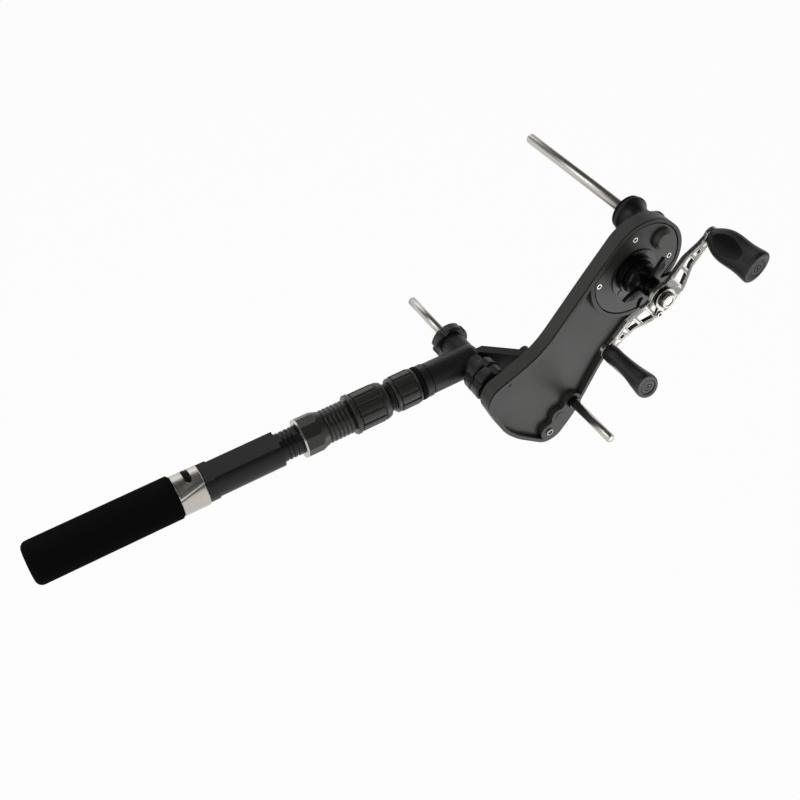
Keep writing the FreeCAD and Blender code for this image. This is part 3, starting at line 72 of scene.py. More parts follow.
Mesh = bpy.types.Mesh
Tree = bpy.types.NodeTree
Socket = bpy.types.NodeSocket
Section = Sequence[tuple[float, float]]
Relief = Callable[[float, float, float], float]
Spot = tuple[float, float, float]


# ---- small helpers ----
def linear(hex_colour: str, gain: float = 1.0) -> tuple[float, float, float, float]:
    """Turns an sRGB hex colour into the linear colour that a shader socket takes.

    Args:
        hex_colour: six hex digits, with or without a leading hash.
        gain: a factor on the linear colour, for lighter or darker shades of it.

    Returns:
        Linear red, green, blue and an alpha of 1.
    """
    digits = hex_colour.lstrip("#")
    shares = [int(digits[i:i + 2], 16) / 255 for i in (0, 2, 4)]
    levels = [s / 12.92 if s <= 0.04045 else ((s + 0.055) / 1.055) ** 2.4 for s in shares]
    return (*(min(1.0, level * gain) for level in levels), 1.0)


def add_node(tree: Tree, kind: str, terms: Mapping[str | int, object] | None = None,
             out: str | int = 0, **settings: object) -> Socket | None:
    """Adds a node to a tree, with its settings and its inputs.

    Args:
        tree: the tree that gets the node.
        kind: the node's type name.
        terms: for each input, by name or number, the socket that feeds it or its fixed value.
        out: which output is wanted, by name or number.
        settings: properties of the node itself, such as operation.

    Returns:
        The wanted output, or None for a node that has no outputs.
    """
    node = tree.nodes.new(kind)
    for name, value in settings.items():
        setattr(node, name, value)
    for key, term in (terms or {}).items():
        if isinstance(term, Socket):
            tree.links.new(term, node.inputs[key])
        else:
            node.inputs[key].default_value = term
    return node.outputs[out] if node.outputs else None


def math_node(tree: Tree, operation: str, *terms: Socket | float) -> Socket:
    """Adds one step of arithmetic to a tree.

    Args:
        tree: the tree that gets the step.
        operation: the math node's operation.
        terms: its inputs in order.

    Returns:
        The socket that gives the outcome.
    """
    return add_node(tree, "ShaderNodeMath", dict(enumerate(terms)), operation=operation)


def mix_node(tree: Tree, share: Socket, *colours: Socket | Sequence[float]) -> Socket:
    """Adds a step from one colour to another.

    Args:
        tree: the tree that gets the step.
        share: how far it goes, from 0 to 1.
        colours: the two colours.

    Returns:
        The socket that gives the mixed colour.
    """
    terms = {"Factor": share, 6: colours[0], 7: colours[1]}
    return add_node(tree, "ShaderNodeMix", terms, out=2, data_type="RGBA")


def emptied(owner: bpy.types.ID) -> Tree:
    """Readies the node tree of a material or a world.

    Args:
        owner: the material or world.

    Returns:
        Its tree, without nodes.
    """
    owner.use_nodes = True
    owner.node_tree.nodes.clear()
    return owner.node_tree


def placed(name: str, data: bpy.types.ID) -> bpy.types.Object:
    """Puts an object in the scene.

    Args:
        name: its name.
        data: its mesh, lamp or camera.

    Returns:
        The object.
    """
    thing = bpy.data.objects.new(name, data)
    bpy.context.scene.collection.objects.link(thing)
    return thing


@dataclass(frozen=True)
class Piece:
    """A visible piece: the CAD node and body that it goes with, its slot, which is not used, and
    its finish.
    """

    name: str
    node: str
    body: str
    slot: str
    finish: "Finish"

    def stand(self, mesh: Mesh) -> bpy.types.Object:
        """Puts the piece in the scene, in its CAD node's place.

        Args:
            mesh: its mesh, placed in the row frame, in metres.

        Returns:
            The piece's object.
        """
        mesh.materials.clear()
        mesh.materials.append(self.finish.material())
        mesh.polygons.foreach_set("use_smooth", [True] * len(mesh.polygons))
        mesh.set_sharp_from_angle(angle=math.radians(SHARP_DEG))
        thing = placed(self.name, mesh)
        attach(thing, self.body)
        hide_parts(self.node)
        log.info("%s rides on %s, %d faces", self.name, self.body, len(mesh.polygons))
        return thing

    def copied(self) -> None:
        """Makes the piece a joined and smoothly shaded copy of its CAD node."""
        self.stand(finished(merged(self.node), self.name))


# ---- built shapes ----
class Axis(Enum):
    """Which way the axis of a turned piece runs."""

    HANDLE = "x"
    SPINDLE = "y"


def finished(shape: bmesh.types.BMesh, name: str) -> Mesh:
    """Turns a shape into a mesh and frees it.

    Args:
        shape: the shape.
        name: the mesh's name.

    Returns:
        The mesh.
    """
    mesh = bpy.data.meshes.new(name)
    shape.to_mesh(mesh)
    shape.free()
    return mesh


def skinned(name: str, rings: Iterable[Iterable[Spot]],
            pairs: Iterable[tuple[int, int]]) -> Mesh:
    """Stretches a skin between rings that have equally many points.

    Args:
        name: the mesh's name.
        rings: the rings' points, in millimetres.
        pairs: which rings the skin joins, by their numbers.

    Returns:
        A closed mesh in metres, with its normals outward.
    """
    shape = bmesh.new()
    corners = [[shape.verts.new(Vector(spot) * MM) for spot in ring] for ring in rings]
    for near, far in ((corners[first], corners[second]) for first, second in pairs):
        for step in range(len(near)):
            after = (step + 1) % len(near)
            shape.faces.new((near[step], near[after], far[after], far[step]))
    bmesh.ops.remove_doubles(shape, verts=shape.verts, dist=WELD)
    bmesh.ops.recalc_face_normals(shape, faces=shape.faces)
    return finished(shape, name)


def turned(section: Section, segments: int, axis: Axis = Axis.HANDLE,
           centre: tuple[float, float] = (0.0, 0.0), relief: Relief | None = None) -> Mesh:
    """Turns a closed section about an axis.

    Args:
        section: corners of the section, each a station on the axis and a radius, in millimetres.
        segments: how many steps make a full turn.
        axis: the way the axis runs.
        centre: where the axis stands: y and z for the handle's axis, x and z for the spindle's.
        relief: changes the radius with the station, the radius and the angle in degrees.

    Returns:
        A closed mesh in metres, with its normals outward.
    """
    def spot(station: float, radius: float, turn: float) -> Spot:
        """Places a corner of the section.

        Args:
            station: its place on the axis.
            radius: its radius.
            turn: how far it has turned, in radians.

        Returns:
            The corner in the row frame, in millimetres.
        """
        reach = relief(station, radius, math.degrees(turn)) if relief and radius else radius
        across = centre[0] + reach * math.cos(turn)
        height = centre[1] + reach * math.sin(turn)
        return (station, across, height) if axis is Axis.HANDLE else (across, station, height)

    turns = [math.tau * step / segments for step in range(segments)]
    rings = [[spot(station, radius, turn) for turn in turns] for station, radius in section]
    pairs = [(at, (at + 1) % len(section)) for at in range(len(section))]
    return skinned("turned", rings, [pair for pair in pairs if any(section[at][1] for at in pair)])


def merged(node: str) -> bmesh.types.BMesh:
    """Copies a CAD node's loose triangles into one joined shape.

    Args:
        node: the node's name.

    Returns:
        The joined shape, which the caller frees.
    """
    shape = bmesh.new()
    shape.from_mesh(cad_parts[node].data)
    bmesh.ops.remove_doubles(shape, verts=shape.verts, dist=CAD_WELD)
    bmesh.ops.recalc_face_normals(shape, faces=shape.faces)
    return shape


def stations(start: float, end: float, step: float) -> list[float]:
    """Spaces stations evenly.

    Args:
        start: the first station, in millimetres.
        end: the last one.
        step: about how far apart they are.

    Returns:
        The stations, both ends among them.
    """
    count = max(1, round((end - start) / step))
    return [start + (end - start) * index / count for index in range(count + 1)]


def profile(start: float, radius: float, corners: Section) -> list[tuple[float, float]]:
    """Places a row of corners.

    Args:
        start: the station that their steps count from, in millimetres.
        radius: the radius that their drops count from.
        corners: each corner's step and drop.

    Returns:
        Each corner's station and radius.
    """
    return [(start + step, radius - drop) for step, drop in corners]


# ---- rules: geometry trees that end in plain meshes ----
class Rule:
    """A geometry tree with named inputs, which ends in realised and dressed geometry."""

    def __init__(self, name: str, **inputs: str) -> None:
        """Starts the tree.

        Args:
            name: the tree's name.
            inputs: each input's kind by its name, apart from the geometry and the skin.
        """
        self.tree = bpy.data.node_groups.new(name, "GeometryNodeTree")
        self.add = partial(add_node, self.tree)
        self.calc = partial(math_node, self.tree)
        face = self.tree.interface
        face.new_socket("Geometry", in_out="OUTPUT", socket_type="NodeSocketGeometry")
        for label, kind in {"Geometry": "Geometry", **inputs, "Skin": "Material"}.items():
            face.new_socket(label, in_out="INPUT", socket_type=f"NodeSocket{kind}")
        self.given = self.add("NodeGroupInput").node.outputs

    def pattern(self) -> Socket:
        """Adds the geometry of the object that the rule repeats.

        Returns:
            The geometry.
        """
        return self.add("GeometryNodeObjectInfo", {"Object": self.given["Pattern"]}, out="Geometry")

    def sink(self, way: Socket, depth: Socket) -> "Rule":
        """Ends the tree by sinking the skin.

        Args:
            way: the outward direction at each point.
            depth: how far each point sinks.

        Returns:
            The rule itself.
        """
        inward = self.calc("MULTIPLY", depth, -1.0)
        step = self.add("ShaderNodeVectorMath", {0: way, "Scale": inward}, operation="SCALE")
        return self.end(self.add("GeometryNodeSetPosition", {"Geometry": self.given["Geometry"],
                                                             "Offset": step}))

    def end(self, geometry: Socket) -> "Rule":
        """Ends the tree: its copies become real and take the skin.

        Args:
            geometry: what the rule has made.

        Returns:
            The rule itself.
        """
        real = self.add("GeometryNodeRealizeInstances", {"Geometry": geometry})
        dressed = self.add("GeometryNodeSetMaterial", {"Geometry": real,
                                                       "Material": self.given["Skin"]})
        self.add("NodeGroupOutput", {"Geometry": dressed})
        return self

    def grow(self, base: Mesh, finish: "Finish", **given: object) -> Mesh:
        """Runs the rule over a mesh.

        Args:
            base: the mesh that the rule starts from.
            finish: what the outcome is made of.
            given: the other inputs, by name.

        Returns:
            The outcome as a plain mesh.
        """
        carrier = placed("carrier", base)
        rule = carrier.modifiers.new("rule", "NODES")
        rule.node_group = self.tree
        values = {**given, "Skin": finish.material()}
        for item in self.tree.interface.items_tree:
            if item.in_out == "INPUT" and item.name in values:
                rule[item.identifier] = values[item.name]
        graph = bpy.context.evaluated_depsgraph_get()
        grown = bpy.data.meshes.new_from_object(carrier.evaluated_get(graph))
        carrier.modifiers.remove(rule)
        bpy.data.objects.remove(carrier)
        return grown


def pore_rule() -> Rule:
    """Makes the rule that sinks fine cells into a skin, along its normals.

    Returns:
        The rule.
    """
    rule = Rule("foam_cells", Cell="Float", Depth="Float", Seed="Float")
    scale = rule.calc("DIVIDE", 1.0, rule.given["Cell"])
    cells = rule.add("ShaderNodeTexNoise", {"Scale": scale, "W": rule.given["Seed"],
                                            "Detail": 2.0, "Roughness": 0.7},
                     noise_dimensions="4D")
    return rule.sink(rule.add("GeometryNodeInputNormal"),
                     rule.calc("MULTIPLY", cells, rule.given["Depth"]))


def radial(rule: Rule) -> tuple[Socket, ...]:
    """Adds the place of each point about the handle's axis.

    Args:
        rule: the rule that needs it.

    Returns:
        The station, the angle, the radius and the outward direction.
    """
    place = rule.add("GeometryNodeInputPosition")
    station, across, height = rule.add("ShaderNodeSeparateXYZ", {0: place}).node.outputs
    flat = rule.add("ShaderNodeCombineXYZ", {1: across, 2: height})
    radius = rule.add("ShaderNodeVectorMath", {0: flat}, out="Value", operation="LENGTH")
    outward = rule.add("ShaderNodeVectorMath", {0: flat}, operation="NORMALIZE")
    return station, rule.calc("ARCTAN2", height, across), radius, outward


def flute_rule(mouth: float = 0.62, floor: float = 0.3) -> Rule:
    """Makes the rule that cuts even flutes along a nut, between two stations and outside a core.

    Args:
        mouth: half the flute's opening, as a share of its width.
        floor: half its flat floor, as a share of its width.

    Returns:
        The rule.
    """
    rule = Rule("nut_flutes", Count="Int", Turn="Float", Width="Float", Depth="Float", Core="Float",
                Start="Float", End="Float")
    given, calc = rule.given, rule.calc
    station, angle, radius, outward = radial(rule)
    pitch = calc("DIVIDE", math.tau, given["Count"])
    steps = calc("DIVIDE", calc("SUBTRACT", angle, given["Turn"]), pitch)
    share = calc("FRACT", calc("ADD", steps, 0.5))
    away = calc("ABSOLUTE", calc("SUBTRACT", share, 0.5))
    arc = calc("MULTIPLY", calc("MULTIPLY", away, pitch), radius)
    groove = rule.add("ShaderNodeMapRange", {"Value": arc,
                                             "From Min": calc("MULTIPLY", given["Width"], mouth),
                                             "From Max": calc("MULTIPLY", given["Width"], floor)})
    within = calc("MULTIPLY", calc("GREATER_THAN", station, given["Start"]),
                  calc("LESS_THAN", station, given["End"]))
    there = calc("MULTIPLY", within, calc("GREATER_THAN", radius, given["Core"]))
    cut = calc("MULTIPLY", there, groove)
    return rule.sink(outward, calc("MULTIPLY", cut, given["Depth"]))


def thread_rule() -> Rule:
    """Makes the rule that cuts a V thread into the outside of a turned piece.

    Returns:
        The rule.
    """
    rule = Rule("screw_thread", Pitch="Float", Depth="Float", Core="Float")
    given, calc = rule.given, rule.calc
    station, angle, radius, outward = radial(rule)
    turns = calc("DIVIDE", angle, math.tau)
    fold = calc("PINGPONG", calc("SUBTRACT", calc("DIVIDE", station, given["Pitch"]), turns), 0.5)
    cut = calc("MULTIPLY", fold, calc("GREATER_THAN", radius, given["Core"]))
    deep = calc("MULTIPLY", cut, given["Depth"])
    return rule.sink(outward, calc("MULTIPLY", deep, 2.0))


def copies_rule() -> Rule:
    """Makes the rule that sets a copy of a pattern piece at every mark.

    Returns:
        The rule.
    """
    rule = Rule("copies_at_marks", Pattern="Object", Roll="Float")
    turn = rule.add("ShaderNodeCombineXYZ", {1: rule.given["Roll"]})
    return rule.end(rule.add("GeometryNodeInstanceOnPoints",
                             {"Points": rule.given["Geometry"], "Instance": rule.pattern(),
                              "Rotation": turn}))


def stack_rule() -> Rule:
    """Makes the rule that adds a row of equal rings to a core, along the handle.

    Returns:
        The rule.
    """
    rule = Rule("row_of_rings", Pattern="Object", Count="Int", Start="Float", Pitch="Float")
    start, pitch = (rule.add("ShaderNodeCombineXYZ", {0: rule.given[label]})
                    for label in ("Start", "Pitch"))
    row = rule.add("GeometryNodeMeshLine", {"Count": rule.given["Count"], "Start Location": start,
                                            "Offset": pitch})
    rings = rule.add("GeometryNodeInstanceOnPoints", {"Points": row, "Instance": rule.pattern()})
    both = rule.add("GeometryNodeJoinGeometry", {"Geometry": rings})
    rule.tree.links.new(rule.given["Geometry"], both.node.inputs["Geometry"])
    return rule.end(both)


def repeated(rule: Rule, base: Mesh, pattern: Mesh, finish: "Finish",
             **given: object) -> Mesh:
    """Runs a rule that repeats a pattern piece.

    Args:
        rule: the rule.
        base: the marks or the core that it starts from.
        pattern: the mesh that it repeats.
        finish: what the outcome is made of.
        given: the rule's other inputs, by name.

    Returns:
        The outcome as a plain mesh.
    """
    carrier = placed("pattern", pattern)
    grown = rule.grow(base, finish, Pattern=carrier, **given)
    bpy.data.objects.remove(carrier)
    return grown


# ---- finishes ----
CREST = 1.5  # how much lighter the grain's crests are, in the finish's own shades
GROOVE_SHADE = "050505"  # colour of the painted shade in narrow grooves
SHUT, OPEN = 0.35, 0.9  # the share of open sky where a groove is darkest, and where it ends
RUB_AND_HIGHLIGHT_GAIN = 3.0  # how many times lighter an edge gets, partly rubbed wear and partly painted highlight
FLAT, BENT = 0.98, 0.75  # how far the rounded normal agrees where the lighter edge starts, and where it is full


class Process(Enum):
    """How a surface was made, and how far that draws its fine pattern out along x, y and z."""

    FOAMED = ("closed cells", (1.0, 1.0, 1.0))
    MOULDED = ("fine spark-eroded mould texture", (1.0, 1.0, 1.0))
    TURNED_X = ("tool lines around the handle", (1.0, 0.04, 0.04))
    TURNED_Y = ("tool lines around an axis along Y", (0.04, 1.0, 0.04))
    DRAWN_Y = ("drawing lines along Y", (1.0, 0.02, 1.0))
    POLISHED = ("buffed, with faint wipe marks", (1.0, 0.35, 1.0))


@dataclass(frozen=True)
class Finish:
    """One real material and how its surface was made.

    The pattern's grain is given in millimetres, and the colour is sRGB.
    """

    name: str
    colour: str
    roughness: float
    process: Process = Process.MOULDED
    metallic: float = 0.0
    specular: float = 0.5
    grain_mm: float = 0.5
    grain_depth_mm: float = 0.01
    shade: float = 0.12
    shade_mm: float = 9.0
    rough_spread: float = 0.06
    edge_mm: float = 0.25
    # share of lighter edges: partly rubbed wear, partly painted highlight
    edge_wear_and_highlight: float = 0.0
    anisotropy: float = 0.0
    # painted shade in grooves and sockets: its strength, and its reach in millimetres
    groove_shade: float = 0.55
    groove_shade_mm: float = 1.2

    def material(self) -> bpy.types.Material:
        """Gives the finish's material, and makes it the first time.

        Returns:
            The material.
        """
        return bpy.data.materials.get(self.name) or self._build()

    def _build(self) -> bpy.types.Material:
        """Builds the material's node tree.

        Returns:
            The new material.
        """
        made = bpy.data.materials.new(self.name)
        tree = emptied(made)
        place = add_node(tree, "ShaderNodeTexCoord", out="Object")
        _, stretch = self.process.value
        drawn = add_node(tree, "ShaderNodeMapping", {"Vector": place, "Scale": stretch})
        tone = add_node(tree, "ShaderNodeTexNoise",
                        {"Vector": drawn if self.metallic else place,
                         "Scale": 1 / (self.shade_mm * MM), "Detail": 4.0, "Roughness": 0.6})
        grain = self._grain(tree, drawn)
        dark, light = (linear(self.colour, gain) for gain in (1 - self.shade, 1 + self.shade))
        colour = mix_node(tree, tone, dark, light)
        colour = mix_node(tree, grain, colour, linear(self.colour, 1 + CREST * self.shade))
        soft = add_node(tree, "ShaderNodeNewGeometry", out="Normal")
        if self.edge_mm:
            soft = add_node(tree, "ShaderNodeBevel", {"Radius": self.edge_mm * MM},
                            samples=4)
        # edges get lighter: partly rubbed wear, partly painted highlight
        if self.edge_wear_and_highlight:
            colour = self._worn_and_highlit_edges(tree, colour, soft)
        # grooves and sockets get painted shade
        if self.groove_shade:
            colour = self._painted_groove_shade(tree, colour)
        rough = add_node(tree, "ShaderNodeMapRange",
                         {"Value": tone, "To Min": max(0.02, self.roughness - self.rough_spread),
                          "To Max": min(1.0, self.roughness + self.rough_spread)})
        bump = add_node(tree, "ShaderNodeBump", {"Height": grain, "Normal": soft,
                                                 "Distance": self.grain_depth_mm * MM})
        shader = add_node(tree, "ShaderNodeBsdfPrincipled",
                          {"Base Color": colour, "Roughness": rough, "Normal": bump,
                           "Metallic": self.metallic, "Specular IOR Level": self.specular,
                           "Anisotropic": self.anisotropy})
        add_node(tree, "ShaderNodeOutputMaterial", {"Surface": shader})
        return made

    def _grain(self, tree: Tree, vector: Socket) -> Socket:
        """Adds the surface's fine pattern.

        Args:
            tree: the material's tree.
            vector: coordinates, drawn out the way the surface was worked.

        Returns:
            The pattern, from 0 to 1.
        """
        scale = 1 / (self.grain_mm * MM)
        if self.process is Process.FOAMED:
            return add_node(tree, "ShaderNodeTexVoronoi", {"Vector": vector, "Scale": scale})
        return add_node(tree, "ShaderNodeTexNoise", {"Vector": vector, "Scale": scale,
                                                     "Detail": 3.0, "Roughness": 0.55})

    def _painted_groove_shade(self, tree: Tree, colour: Socket) -> Socket:
        """Paints shade into narrow grooves and sockets, where little open sky reaches.

        Args:
            tree: the material's tree.
            colour: the colour so far.

        Returns:
            The colour with darker recesses.
        """
        open_air = add_node(tree, "ShaderNodeAmbientOcclusion",
                            {"Distance": self.groove_shade_mm * MM}, out="AO", samples=4)
        share = add_node(tree, "ShaderNodeMapRange",
                         {"Value": open_air, "From Min": SHUT, "From Max": OPEN,
                          "To Min": self.groove_shade, "To Max": 0.0})
        return mix_node(tree, share, colour, linear(GROOVE_SHADE))

    def _worn_and_highlit_edges(self, tree: Tree, colour: Socket, rounded: Socket) -> Socket:
        """Lightens the edges: partly rubbed wear, partly a painted highlight on their rounding.

        Args:
            tree: the material's tree.
            colour: the colour so far.
            rounded: the normal as the rounded edge would have it.

        Returns:
            The colour with lighter edges.
        """
        flat = add_node(tree, "ShaderNodeNewGeometry", out="Normal")
        same = add_node(tree, "ShaderNodeVectorMath", {0: flat, 1: rounded}, out="Value",
                        operation="DOT_PRODUCT")
        rub_and_highlight_share = add_node(tree, "ShaderNodeMapRange",
                          {"Value": same, "From Min": FLAT, "From Max": BENT,
                           "To Max": self.edge_wear_and_highlight})
        return mix_node(tree, rub_and_highlight_share, colour, linear(self.colour, RUB_AND_HIGHLIGHT_GAIN))


# Closed-cell EVA foam, ground round: dead black and matt, with its cells a little too coarse.
FOAM = Finish("eva_foam_ground", "121212", 0.98, Process.FOAMED, specular=0.05, grain_mm=0.8,
              grain_depth_mm=0.08, shade=0.25, shade_mm=5.0, edge_mm=0.6, groove_shade=0.0)
# Glass-filled nylon, moulded: black, with its edges a little lighter, partly wear and partly a
# painted sheen.
NYLON_BLACK = Finish("glass_nylon_moulded", "171717", 0.42, specular=0.3, edge_wear_and_highlight=0.15)
# The same nylon on the hood and nuts, a shade greyer; its lands lighter, partly where hands have
# polished them and partly painted highlight, with painted shade in its flutes.
NUT_GREY = Finish("glass_nylon_nut", "343431", 0.34, specular=0.42, grain_mm=0.4, edge_wear_and_highlight=0.9,
                  edge_mm=0.26, groove_shade=0.85, groove_shade_mm=1.5)
# Satin ABS of the tee: charcoal with an even mould texture.
TEE_ABS = Finish("abs_satin_tee", "202020", 0.46, specular=0.38, grain_mm=0.45, edge_wear_and_highlight=0.2)
# Satin ABS of the gear arm, a lighter charcoal, with painted shade in its recess and grooves and
# lighter edges, partly wear and partly painted highlight.
ARM_ABS = Finish("abs_satin_arm", "434341", 0.48, specular=0.38, grain_mm=0.5, shade=0.06,
                 shade_mm=22.0, edge_wear_and_highlight=0.3, groove_shade=0.55, groove_shade_mm=2.2)
# The gear cover, from the same ABS out of a finer mould, with painted shade in its grooves and
# lighter edges, partly wear and partly painted highlight.
COVER_ABS = Finish("abs_satin_cover", "464644", 0.44, specular=0.4, grain_mm=0.4, shade=0.06,
                   shade_mm=16.0, edge_wear_and_highlight=0.35, groove_shade=0.8, groove_shade_mm=1.6)
# Acetal hand knobs: black, smooth and a little waxy.
ACETAL = Finish("acetal_knob", "292929", 0.36, specular=0.45, grain_mm=0.6, edge_wear_and_highlight=0.2,
                edge_mm=0.5)
# Soft-touch paddle knobs of the crank: black with a broad dull highlight.
SOFT_TOUCH = Finish("soft_touch_knob", "1c1c1c", 0.44, specular=0.42, grain_mm=0.35, shade=0.08,
                    edge_mm=0.5)
# The dished panels of those knobs: the same skin, smoother, and darker with a painted dark
# reflection.
PAINTED_DARK_PANEL = Finish("soft_touch_panel_painted_dark", "0f0f0f", 0.3, specular=0.22, grain_mm=0.35, shade=0.08,
               edge_mm=0.3)
# Nitrile rubber: matt black.
RUBBER = Finish("nitrile_rubber", "0c0c0c", 0.8, specular=0.15, grain_mm=0.5)
# Satin anodised aluminium sleeve, turned: pale silver with fine lines round it.
SILVER = Finish("aluminium_satin_anodised", "b9b5ae", 0.3, Process.TURNED_X, metallic=1.0,
                grain_mm=0.3, grain_depth_mm=0.006, shade=0.1, shade_mm=2.0, anisotropy=0.4)
# Plain drawn aluminium tube.
TUBE = Finish("aluminium_drawn", "a8a8a8", 0.35, Process.TURNED_X, metallic=1.0, grain_mm=0.3,
              grain_depth_mm=0.004)
# Drawn stainless rod: bright, with darker and lighter lines along it.
ROD = Finish("stainless_drawn", "c0bdb7", 0.33, Process.DRAWN_Y, metallic=1.0, grain_mm=0.9,
             grain_depth_mm=0.0006, shade=0.12, shade_mm=3.0, rough_spread=0.04, edge_mm=0.0,
             groove_shade=0.0)
# Zinc-plated screw steel: bright rims, with its socket darkened by painted shade.
SCREW = Finish("steel_zinc_plated", "bcbab6", 0.22, Process.POLISHED, metallic=1.0, grain_mm=0.6,
               grain_depth_mm=0.002, shade=0.05, groove_shade=0.97, groove_shade_mm=1.6)
# The foot screw's steel, duller and greyer, with its socket darkened by painted shade.
SCREW_DULL = Finish("steel_phosphated", "7d7b78", 0.34, Process.POLISHED, metallic=1.0,
                    grain_mm=0.6, grain_depth_mm=0.004, shade=0.08, groove_shade=0.97, groove_shade_mm=1.8)
# Buffed aluminium crank: bright, with faint wipe marks and darker bands where it curves, painted
# shade in its slots and grooves, and lighter edges, partly wear and partly painted highlight.
BUFFED = Finish("aluminium_buffed", "8f8d89", 0.19, Process.POLISHED, metallic=1.0, grain_mm=1.2,
                grain_depth_mm=0.006, shade=0.14, shade_mm=3.0, rough_spread=0.05, edge_mm=0.9,
                edge_wear_and_highlight=0.7, groove_shade=0.85, groove_shade_mm=2.4)
# Black anodised aluminium of the drag dome, ring and star: deep black with a tight highlight, and
# lighter edges, partly wear and partly painted highlight.
ANODISED = Finish("aluminium_black_anodised", "0a0a0a", 0.28, Process.TURNED_Y, specular=0.35,
                  grain_mm=0.3, grain_depth_mm=0.004, edge_wear_and_highlight=0.3, edge_mm=0.3)
# Sintered bronze bushes.
BRONZE = Finish("bronze_sintered", "9a7440", 0.45, metallic=1.0, grain_mm=0.3)
# Ground bearing steel.
BEARING = Finish("steel_ground", "b4b4b4", 0.22, Process.TURNED_Y, metallic=1.0, grain_mm=0.3,
                 grain_depth_mm=0.002)
# Natural acetal gears: milky and slightly glossy.
GEAR = Finish("acetal_natural", "ddd6c4", 0.35, specular=0.5, grain_mm=0.8)


# ---- sub-assemblies ----
def dress(finish: Finish, *nodes: str) -> None:
    """Gives CAD nodes their finish.

    Args:
        finish: what they are made of.
        nodes: their names.
    """
    for name in nodes:
        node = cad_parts[name]
        node.data.materials.clear()
        node.data.materials.append(finish.material())
    log.info("dressed %s in %s", ", ".join(nodes), finish.name)


@dataclass
class FoamGrip:
    """The foam grip and the plug in its butt."""

    length: float = 92.0
    outer_r: float = 14.0
    bore_r: float = 7.53
    butt_wall: float = 3.0
    butt_round: float = 4.5
    butt_turn: int = 9
    face_gap: float = 0.7
    face_row: float = 1.2
    chamfer: float = 1.2
    row: float = 0.6
    segments: int = 150
    cell: float = 1.1
    cell_depth: float = 0.09
    seed: float = 4.0
    fill: float = 1.0

    def build(self) -> None:
        """Builds the grip's skin with its cells."""
        butt = [(self.butt_round * (1 - math.cos(turn)),
                 self.outer_r - self.butt_round * (1 - math.sin(turn)))
                for turn in (math.radians(step) for step in range(0, 91, self.butt_turn))]
        rim = butt[0][1] - self.face_gap
        face = [(0.0, radius) for radius in stations(0.0, rim, self.face_row)]
        end = self.length - self.chamfer
        side = [(at, self.outer_r) for at in stations(butt[-1][0], end, self.row)]
        front = [(self.length, self.outer_r - self.chamfer), (self.length, self.bore_r)]
        bore = [(self.butt_wall, self.bore_r), (self.butt_wall, 0.0)]
        base = turned(face + butt + side[1:] + front + bore, self.segments)
        skin = pore_rule().grow(base, FOAM, Cell=self.cell * MM, Depth=self.cell_depth * MM,
                                Seed=self.seed)
        grip = Piece("foam_skin", "foam_grip", "handle", "foam", FOAM).stand(skin)
        dress(NYLON_BLACK, "butt_plug")
        dress(TUBE, "handle_tube")


